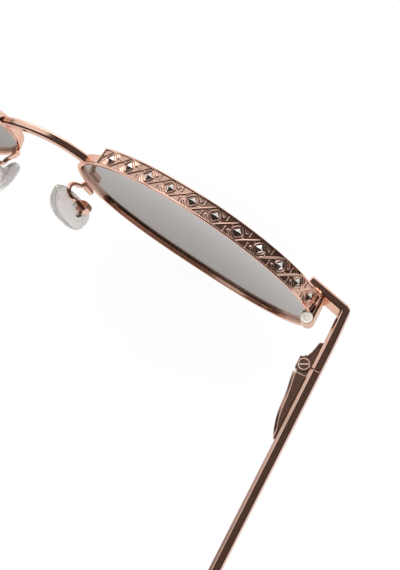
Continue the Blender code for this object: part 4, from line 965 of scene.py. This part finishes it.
# %% The hinge leaves
def ring_slab(outline, bore, low, high, edge, ledge):
    """A slab with a bore about AXIS: rings run up the outside, over the top and down the bore.

    `ledge` is (wider radius, depth) of the screw head's recess, or nothing.
    """
    turn = np.linspace(0.0, np.pi / 2, 5)
    inset, climb = edge * (1.0 - np.sin(turn)), edge * (1.0 - np.cos(turn))
    into = inward(outline)
    outside = [(edge * RIM_HOLD, low), *zip(inset, low + climb),
               *zip(inset[::-1], (high - climb)[::-1]), (edge * RIM_HOLD, high)]
    rings = [np.hstack([outline + into * shift, np.full((len(outline), 1), z)]) for shift, z in outside]
    angle = np.arctan2(outline[:, 1] - AXIS[1], outline[:, 0] - AXIS[0])
    circle = np.stack([np.cos(angle), np.sin(angle)], axis=-1)
    inside = [(bore + 0.08, high), (bore, high - 0.06), (bore, low + 0.04), (bore + 0.06, low)]
    if ledge:
        wide, deep = ledge
        inside = [(wide + 0.13, high), (wide + 0.05, high - 0.03), (wide, high - 0.1),
                  (wide, high - deep), (bore, high - deep)] + inside[2:]
    rings += [np.hstack([AXIS + circle * radius, np.full((len(outline), 1), z)]) for radius, z in inside]
    return np.array(rings)


HALF_LEAF, HALF_EAR_GAP, BORE, RECESS = 1.45, 0.6, 0.6, (1.25, 0.4)
leaf_low, leaf_top = BAR_MID - HALF_LEAF, BAR_MID + HALF_LEAF
leaf_corners = np.array([
    (1.56, -5.6), (0.86, -5.38), (0.62, -4.1), (0.32, -2.9), (-0.08, -1.95), (-0.62, -1.50),
    (-1.45, -1.25), (-1.43, 1.55), (0.05, 1.53), (0.76, 1.33), (1.26, 0.86), (1.56, 0.1)])
leaf_turns = [0.1, 0.3, 0.5, 0.45, 0.45, 0.3, 0.25, 0.35, 0.3, 0.3, 0.25, 0.05]
leaf_plan = turned_corners(leaf_corners + AXIS, leaf_turns, 6)
web_corners = np.array([
    (1.53, -5.55), (0.90, -5.34), (0.66, -4.1), (0.36, -2.9), (-0.04, -2.0), (-0.6, -1.55), (-1.38, -1.28),
    (-1.38, -0.9)])
WEB_HOLLOW, HALF_WEB = 1.28, 0.7
web_arc = arc((0.0, 0.0), WEB_HOLLOW, 229, 385, 20)
web_plan = np.vstack([web_corners, web_arc, [(1.53, 0.62)]]) + AXIS
pair("hinge_leaf",
     [(ring_slab(leaf_plan, BORE, BAR_MID + HALF_EAR_GAP, leaf_top, 0.13, RECESS), {"wrap_rows": True}),
      (ring_slab(leaf_plan, BORE, leaf_low, BAR_MID - HALF_EAR_GAP, 0.13, None), {"wrap_rows": True}),
      (plate(web_plan, BAR_MID - HALF_WEB, BAR_MID + HALF_WEB, 0.02, 0.02, 2), {})],
     satin_gold, "front", ["hinge_leaf_SIDE"])

# %% The hinge screws: a pale rim, and a face of two halves with the slot between them
SLOT_TURN, HALF_SLOT, FACE_ROUND = np.radians(-26.0), 0.13, 1.06
head_low, slot_floor = leaf_top - 0.35, leaf_top - 0.2
start = np.degrees(np.arcsin(HALF_SLOT / FACE_ROUND))
half_face = np.vstack([arc((0.0, 0.0), FACE_ROUND, start, 180 - start, 31),
                       [(-0.6, HALF_SLOT), (0.0, HALF_SLOT), (0.6, HALF_SLOT)]])
cosine, sine = np.cos(SLOT_TURN), np.sin(SLOT_TURN)
half_face = half_face @ np.array([[cosine, sine], [-sine, cosine]])
shank = [(0.001, slot_floor), (0.9, slot_floor), (1.09, slot_floor), (1.10, leaf_top - 0.04),
         (1.13, leaf_top + 0.01), (1.17, leaf_top + 0.03), (1.21, leaf_top + 0.01), (1.23, leaf_top - 0.04),
         (1.23, head_low + 0.03), (1.2, head_low), (0.6, head_low), (0.55, head_low - 0.05),
         (0.55, leaf_low + 0.12), (0.48, leaf_low + 0.05), (0.001, leaf_low + 0.05)]
pair("hinge_screw", [(spun(shank, (*AXIS, 0.0)), {})], bright_ring, "front",
     ["hinge_screw_SIDE"])
halves_of_face = [(plate(half_face * way_round + AXIS, slot_floor - 0.05, leaf_top, 0.01, 0.05, 4), {})
                  for way_round in (1.0, -1.0)]
pair("hinge_screw_face", halves_of_face, satin_gold, "front", [])

# %% [markdown]
# The knuckle is the disc between the ears, with a flange that stops at the housing's
# mouth and a rod that runs into the housing through the coil spring. Its bore is hidden
# by the screw, so the disc is a plain plate here. The rod's end is wider, which holds
# the spring on it.

# %% The knuckles with their rods
KNUCKLE_ROUND, HALF_KNUCKLE, NECK, ROD_AT = 1.15, 0.55, 2.05, 0.5
knuckle_plan = np.vstack([
    arc((0.0, 0.0), KNUCKLE_ROUND, 45, -218, 36), [(-0.8, 1.3), (-0.8, NECK - 0.05), (-0.75, NECK)],
    [(1.4, NECK), (1.45, NECK - 0.05), (1.45, 0.85), (1.38, 0.75), (1.0, 0.75)]]) + AXIS
height_to_y = np.array([[1.0, 0.0, 0.0], [0.0, 0.0, 1.0], [0.0, -1.0, 0.0]])
rod_profile = [(0.001, 1.6), (0.3, 1.6), (0.35, 1.65), (0.35, 7.4), (0.35, 7.402), (0.55, 7.402), (0.6, 7.45),
               (0.6, 7.95), (0.55, 8.0), (0.001, 8.0)]
rod = spun(rod_profile, (AXIS[0] + ROD_AT, AXIS[1], BAR_MID), 32, height_to_y)
disc = plate(knuckle_plan, BAR_MID - HALF_KNUCKLE, BAR_MID + HALF_KNUCKLE, 0.06, 0.06, 3)
pair("hinge_slider", [(disc, {}), (rod, {})], slider_steel, "knuckle_SIDE",
     ["hinge_slider_SIDE"])

# %% [markdown]
# The spring housing is a hollow case on the temple's inner face, widest in front and
# falling away in a long concave line. Its skin goes from the end of its bore out
# through the mouth, over the front face and back along the outside. The coil spring in
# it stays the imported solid, because it stretches with the sprung joint; it only gets a
# finish of its own.

# %% The spring housings and the springs in them
MOUTH, HOUSING_LONG, FRONT_ROUND, TAIL_ROUND, OFF_BAR = 2.1, 14.3, 0.16, 0.2, 0.05
knots = np.array([(0.0, 2.95), (0.9, 2.86), (2.0, 2.70), (3.4, 2.45), (5.0, 2.24), (6.6, 2.12), (8.3, 2.00),
                  (10.0, 1.74), (12.0, 1.20), (13.4, 0.74), (HOUSING_LONG, 0.42)])
case_line = smooth_route(knots, 5)
front_stops = FRONT_ROUND * (1.0 - np.cos(np.linspace(0.0, np.pi / 2, 6)))
inside_case = (case_line[:, 0] > 0.4) & (case_line[:, 0] < HOUSING_LONG - 0.4)
tail_stops = [14.0, 14.15, 14.25, HOUSING_LONG]
case_y = np.concatenate([front_stops, case_line[inside_case, 0], tail_stops])
case_wide = np.interp(case_y, case_line[:, 0], case_line[:, 1])
case_curl = rounding(case_y, FRONT_ROUND) + rounding(HOUSING_LONG - case_y, TAIL_ROUND)
inner_face = AXIS[0] + INBOARD - OFF_BAR
case_middle = np.stack(np.broadcast_arrays(
    inner_face - case_wide / 2, AXIS[1] + MOUTH + case_y, BAR_MID), axis=-1)
case_grid = carried(case_middle, (1.0, 0.0, 0.0), (0.0, 0.0, 1.0), case_wide / 2 - case_curl,
                    HALF_LEAF - case_curl, 0.15, 0, 0.55)
face_ring = case_grid[0, :, [0, 2]].T - (AXIS[0] + ROD_AT, BAR_MID)
around_bore = np.arctan2(face_ring[:, 1], face_ring[:, 0])
bore_profile = np.array([(0.001, 8.2), (0.65, 8.2), (0.7, 8.15), (0.7, 2.95), (0.65, 2.9), (0.45, 2.9),
                         (0.4, 2.85), (0.4, MOUTH + 0.04), (0.45, MOUTH)])
bore_rows = np.stack([
    AXIS[0] + ROD_AT + bore_profile[:, :1] * np.cos(around_bore),
    AXIS[1] + bore_profile[:, 1:] + 0 * around_bore,
    BAR_MID + bore_profile[:, :1] * np.sin(around_bore)], axis=-1)
pair("spring_housing", [(np.concatenate([bore_rows, case_grid]), {})], satin_gold, "arm_SIDE",
     ["spring_housing_SIDE"])
for side_name in ("left", "right"):
    coil = bpy.data.objects[f"hinge_spring_{side_name}"]
    for place_in in coil.material_slots:
        place_in.material = spring_steel
    print(coil.name, "wears", coil.material_slots[0].material.name)

# %% [markdown]
# The temple is a slim flat bar with a core wire that runs on inside the moulded tip.
# The tip curves down behind the ear and ends broad and round. Both follow one route:
# straight back, round an arc, and straight on at a slant. Its distances are measured
# from the seam between the end piece and the temple.

# %% The temples
BEND_START, BEND_RADIUS, BEND_ANGLE, SLANT = 90.0, 22.0, np.radians(40.0), 36.716
BAR_LONG, BAR_ROUND = 81.0, 0.12
CORE_END, CORE_HALF = 135.17, 0.6
bend_end = BEND_START + BEND_RADIUS * BEND_ANGLE


def route(distance):
    """Centre line and the way up from it: straight, then an arc, then straight at BEND_ANGLE down."""
    distance = np.asarray(distance, dtype=float)
    turn = np.clip((distance - BEND_START) / BEND_RADIUS, 0.0, BEND_ANGLE)
    after = np.clip(distance - bend_end, 0.0, None)
    y = np.minimum(distance, BEND_START) + BEND_RADIUS * np.sin(turn) + after * np.cos(BEND_ANGLE)
    z = -BEND_RADIUS * (1.0 - np.cos(turn)) - after * np.sin(BEND_ANGLE)
    centre = np.stack([np.full(len(distance), BAR_OUT - BAR_WIDTH / 2), SEAM + y, BAR_MID + z], axis=-1)
    return centre, np.stack([0 * turn, np.sin(turn), np.cos(turn)], axis=-1)


bar_stops = stops(BAR_LONG, BAR_ROUND, 16)
centres, ups = route(bar_stops)
curl = rounding(np.minimum(bar_stops, BAR_LONG - bar_stops), BAR_ROUND)
bar_grid = carried(centres, (1.0, 0.0, 0.0), ups, BAR_WIDTH / 2 - curl, BAR_HEIGHT / 2 - curl, 0.14, 0, 0.6)
core_stops = np.concatenate([[BAR_LONG - 0.2], np.linspace(BEND_START, bend_end, 12), [CORE_END]])
centres, ups = route(core_stops)
core_grid = carried(centres, (1.0, 0.0, 0.0), ups, CORE_HALF, CORE_HALF, CORE_HALF - 0.01, 5)
pair("temple", [(bar_grid, {}), (core_grid, {})], rose_gold, "arm_SIDE", ["temple_SIDE"])

# %% [markdown]
# The tip is a superellipse, a little squarer than an ellipse, carried along the same
# route. Its sizes are given at five marks and blended over 4 mm, so that no step shows.
# Its end closes as a half ellipse, and its mouth has a small round. A bore runs down
# its middle for the core wire.

# %% The tips
MOUTH_ROUND, END_LONG, BLEND, TIP_POWER, TIP_BORE = 0.35, 3.4, 4.0, 2.4, 0.7
tip_start, tip_stop = BAR_LONG + 0.05, bend_end + SLANT
mouth_run = tip_start + MOUTH_ROUND * (1.0 - np.cos(np.linspace(0.0, np.pi / 2, 6)))
long_run = np.linspace(tip_start + 0.8, tip_stop - END_LONG, 48)
end_run = tip_stop - END_LONG * (1.0 - np.sin(np.radians(np.linspace(6.0, 89.9, 16))))
tip_run = np.concatenate([mouth_run, long_run, end_run])
marks = [tip_start, BEND_START, bend_end, tip_stop - END_LONG, tip_stop]
half_across = np.interp(tip_run, marks, [1.45, 1.70, 1.87, 1.80, 1.80])
half_up = np.interp(tip_run, marks, [1.90, 2.70, 2.97, 3.40, 3.40])
soft = np.exp(-((tip_run[:, None] - tip_run[None]) / BLEND) ** 2)
soft /= soft.sum(axis=1, keepdims=True)
half_across, half_up = soft @ half_across, soft @ half_up
end_share = np.sqrt(1.0 - np.clip((tip_run - tip_stop + END_LONG) / END_LONG, 0.0, 1.0) ** 2)
mouth_curl = rounding(tip_run - tip_start, MOUTH_ROUND)
tip_angle = np.arange(56) * 2 * np.pi / 56
cosine, sine = np.cos(tip_angle), np.sin(tip_angle)
round_across = np.sign(cosine) * np.abs(cosine) ** (2 / TIP_POWER)
round_up = np.sign(sine) * np.abs(sine) ** (2 / TIP_POWER)
centres, ups = route(tip_run)
wide = (half_across * end_share - mouth_curl)[:, None, None] * round_across[None, :, None]
high = (half_up * end_share - mouth_curl)[:, None, None] * round_up[None, :, None]
tip_grid = centres[:, None] + wide * (1.0, 0.0, 0.0) + high * ups[:, None]
bore_end = [CORE_END + 0.1, CORE_END + 0.03]
bore_run = np.concatenate([bore_end, np.linspace(bend_end, BEND_START, 12), [tip_start]])
centres, ups = route(bore_run)
bore_wide = np.array([0.001] + [TIP_BORE] * (len(bore_run) - 1))[:, None, None]
bore_grid = centres[:, None] + bore_wide * (
    cosine[None, :, None] * (1.0, 0.0, 0.0) + sine[None, :, None] * ups[:, None])
pair("temple_tip", [(np.concatenate([bore_grid, tip_grid]), {})], acetate, "arm_SIDE",
     ["temple_tip_SIDE"])

# %% [markdown]
# The nose pads. Each hangs on a wire soldered behind the rim: a broad foot, a loop up
# and over, and a small round-backed box. The pad's lug sits in the box on a screw with
# a ball head, so the pad can rock. The pad is soft: a rounded D in outline, longer
# behind its lug than ahead of it, milky, with no hard edge anywhere. Arm, box, screw
# and pad are all set out in the pad's own leaning frame, whose origin is on the screw.


# %% The pad arms
PAD_CENTRE, PAD_TO_AXIS = np.array([7.94, 5.54, -5.82]), 3.34
SPLAY, FRONTAL, ROLL_BACK = np.radians([5.7, 25.5, 6.7])
PER_STRETCH, WIRE_HALF, FOOT_EXTRA, FOOT_FADE = 8, 0.5, 0.15, 2.4


def pad_frame():
    """Its columns are x back along the pad, y towards the nose and z up the pad's length.

    x lies level at the splay angle, z is the frontal lean less its part along x, and y is
    z × x. Then x and z are turned about y by the roll.
    """
    x = np.array([np.sin(SPLAY), np.cos(SPLAY), 0.0])
    lean = np.array([-np.sin(FRONTAL), 0.0, np.cos(FRONTAL)])
    z = lean - x * (lean @ x)
    z /= np.linalg.norm(z)
    cosine, sine = np.cos(ROLL_BACK), np.sin(ROLL_BACK)
    return np.stack([x * cosine + z * sine, np.cross(z, x), z * cosine - x * sine], axis=-1)


def tube(path, radii, columns=24):
    """Circles carried along a path, each set square to it and turned as little as possible."""
    path = np.asarray(path, dtype=float)
    ahead = np.gradient(path, axis=0)
    ahead /= np.linalg.norm(ahead, axis=1, keepdims=True)
    side_way = np.zeros_like(path)
    side_way[0] = np.cross(ahead[0], (0.31, 0.2, 0.93))
    for number in range(len(path)):
        carried_on = side_way[max(number - 1, 0)]
        carried_on = carried_on - ahead[number] * (carried_on @ ahead[number])
        side_way[number] = carried_on / np.linalg.norm(carried_on)
    up_way = np.cross(ahead, side_way)
    angle = np.arange(columns) * 2 * np.pi / columns
    return path[:, None] + np.asarray(radii)[:, None, None] * (
        np.cos(angle)[None, :, None] * side_way[:, None] + np.sin(angle)[None, :, None] * up_way[:, None])


TILT = pad_frame()
TILT_AT = PAD_CENTRE - TILT[:, 1] * PAD_TO_AXIS
foot_heights = np.linspace(-9.8, -6.2, 4)
foot_angles = np.pi + np.arcsin((-foot_heights / EYE_DROP) ** (LOW_NASAL / 2))
foot = beside_rim(foot_angles, RIM_THICK * 0.6, -RIM_BACK - 0.70)
loop = [(8.6, 0.65, -5.2), (8.2, 1.3, -4.2), (7.5, 1.7, -2.5), (7.2, 2.5, -0.8), (7.56, 3.84, 0.5),
        (8.14, 4.66, -0.15), (8.95, 5.04, -1.0)]
on_box = np.array([(-0.22, 0.4, 2.05), (-0.22, 0.4, 1.02)]) @ TILT.T + TILT_AT
wire_path = smooth_route(np.vstack([foot, loop, on_box]), PER_STRETCH)
travelled = np.concatenate([[0.0], np.cumsum(np.linalg.norm(np.diff(wire_path, axis=0), axis=1))])
left_to_go = travelled[-1] - travelled
foot_long = travelled[PER_STRETCH * (len(foot) - 1)]
thick = WIRE_HALF + FOOT_EXTRA * np.clip(1.0 - (travelled - foot_long) / FOOT_FADE, 0.0, 1.0)
thick = thick - rounding(travelled, 0.55) - rounding(left_to_go, 0.1)
thick = np.maximum(thick, 0.01)
pair("pad_arm", [(tube(wire_path, thick), {})], rose_gold, "front", ["pad_arm_SIDE"])

# %% The pad boxes: a slotted block with a round back, and its lid
BOX_HALF, BOX_MOUTH, BOX_ROUND_AT, SLOT_HALF, SLOT_END = 1.3, 0.95, -0.45, 0.5, -0.75
BOX_BACK = BOX_ROUND_AT - BOX_HALF
fork = turned_corners(
    [(-BOX_HALF, BOX_MOUTH), (-SLOT_HALF, BOX_MOUTH), (-SLOT_HALF, SLOT_END), (SLOT_HALF, SLOT_END),
     (SLOT_HALF, BOX_MOUTH), (BOX_HALF, BOX_MOUTH), (BOX_HALF, BOX_BACK), (-BOX_HALF, BOX_BACK)],
    [0.3, 0.12, 0.05, 0.05, 0.12, 0.3, 0.3, 0.3], 5)
lid = turned_corners([(-BOX_HALF, BOX_MOUTH), (BOX_HALF, BOX_MOUTH), (BOX_HALF, BOX_BACK),
                      (-BOX_HALF, BOX_BACK)], 0.3, 5)
box_back = arc((0.0, BOX_ROUND_AT), BOX_HALF, 0, -180, 27)
box_plan = np.vstack([fork[:-14], box_back])
lid_plan = np.vstack([lid[:-14], box_back])
tilted = [(plate(box_plan, -1.05, 0.82, 0.3, 0.01) @ TILT.T + TILT_AT, {}),
          (plate(lid_plan, 0.8, 1.05, 0.01, 0.2) @ TILT.T + TILT_AT, {})]
pair("pad_box", tilted, rose_gold, "front", ["pad_box_SIDE"])

# %% The ball screws
BALL, PIN, PIN_END, BALL_SEAT = 0.75, 0.3, 1.3, 1.35
lift = np.sqrt(BALL ** 2 - PIN ** 2)
ball_turn = np.linspace(np.pi / 2, -np.arcsin(lift / BALL), 14)
ball = np.stack([BALL * np.cos(ball_turn) + 0.001, BALL_SEAT + lift + BALL * np.sin(ball_turn)], axis=-1)
pin = [(PIN, PIN_END), (PIN, 0.04 - PIN_END), (PIN - 0.04, -PIN_END), (0.001, -PIN_END)]
screw_line = np.vstack([ball, pin])
sideways = np.array([(0.0, 0.0, 1.0), (0.0, 1.0, 0.0), (-1.0, 0.0, 0.0)])
pair("pad_screw", [(spun(screw_line, TILT_AT, 36, TILT @ sideways), {})], screw_steel, "front",
     ["pad_screw_SIDE"])

# %% The pads, each a squared ball with its lug
PAD_BEHIND, PAD_AHEAD, PAD_NOSE_SIDE, PAD_BOX_SIDE, HALF_PAD = 4.4, 2.4, 1.5, 1.2, 7.25
polar = np.linspace(0.0, np.pi, 49)[:, None]
equator = (np.arange(72) * 2 * np.pi / 72)[None]
ball_x, ball_y, ball_z = np.broadcast_arrays(
    np.sin(polar) * np.cos(equator), np.sin(polar) * np.sin(equator), np.cos(polar))
bulge_x, bulge_y, bulge_z = (np.sign(c) * np.abs(c) ** 0.8 for c in (ball_x, ball_y, ball_z))
pad_grid = np.stack([
    bulge_x * np.where(bulge_x > 0, PAD_BEHIND, PAD_AHEAD),
    bulge_y * np.where(bulge_y > 0, PAD_NOSE_SIDE, PAD_BOX_SIDE) + PAD_TO_AXIS,
    bulge_z * HALF_PAD], axis=-1)
lug_y = np.array([-0.6, -0.58, -0.5, 2.4, 2.5])
lug_curl = np.array([0.1, 0.03, 0.0, 0.0, 0.1])
lug_middle = np.stack([0 * lug_y, lug_y, 0 * lug_y], axis=-1)
lug_grid = carried(lug_middle, (1.0, 0.0, 0.0), (0.0, 0.0, 1.0), 0.45 - lug_curl, 0.6 - lug_curl, 0.15, 4)
pair("nose_pad", [(pad_grid @ TILT.T + TILT_AT, {}), (lug_grid @ TILT.T + TILT_AT, {})], silicone, "pad_SIDE",
     ["nose_pad_SIDE"])

# %% [markdown]
# The bridge is hidden by the picture's edge, so it is the plainest one that such a frame
# has: a flat bar with rounded edges, soldered to both rims, that rises in a low parabola
# and leans a little forward as it does.

# %% The bridge
BRIDGE_AT, BRIDGE_RISE = 7.2, 1.6
bridge_angle = np.pi - np.arcsin((BRIDGE_AT / EYE_RISE) ** (TOP_NASAL / 2))
joint = beside_rim(bridge_angle, RIM_THICK / 2, (RIM_FRONT - RIM_BACK) / 2)
share = np.linspace(-1.0, 1.0, 49)
rise = BRIDGE_RISE * (1.0 - share ** 2)
centres = np.stack([share * joint[0], joint[1] - rise / 2, joint[2] + rise], axis=-1)
lean = np.arctan(-2 * BRIDGE_RISE * share / joint[0])
ups = np.stack([-np.sin(lean), 0 * lean, np.cos(lean)], axis=-1)
bridge_grid = carried(centres, (0.0, 1.0, 0.0), ups, 0.9, 1.3, 0.5, 6)
piece("bridge", welded("bridge", [skin("bridge", bridge_grid)]), rose_gold, "front", ["bridge"])
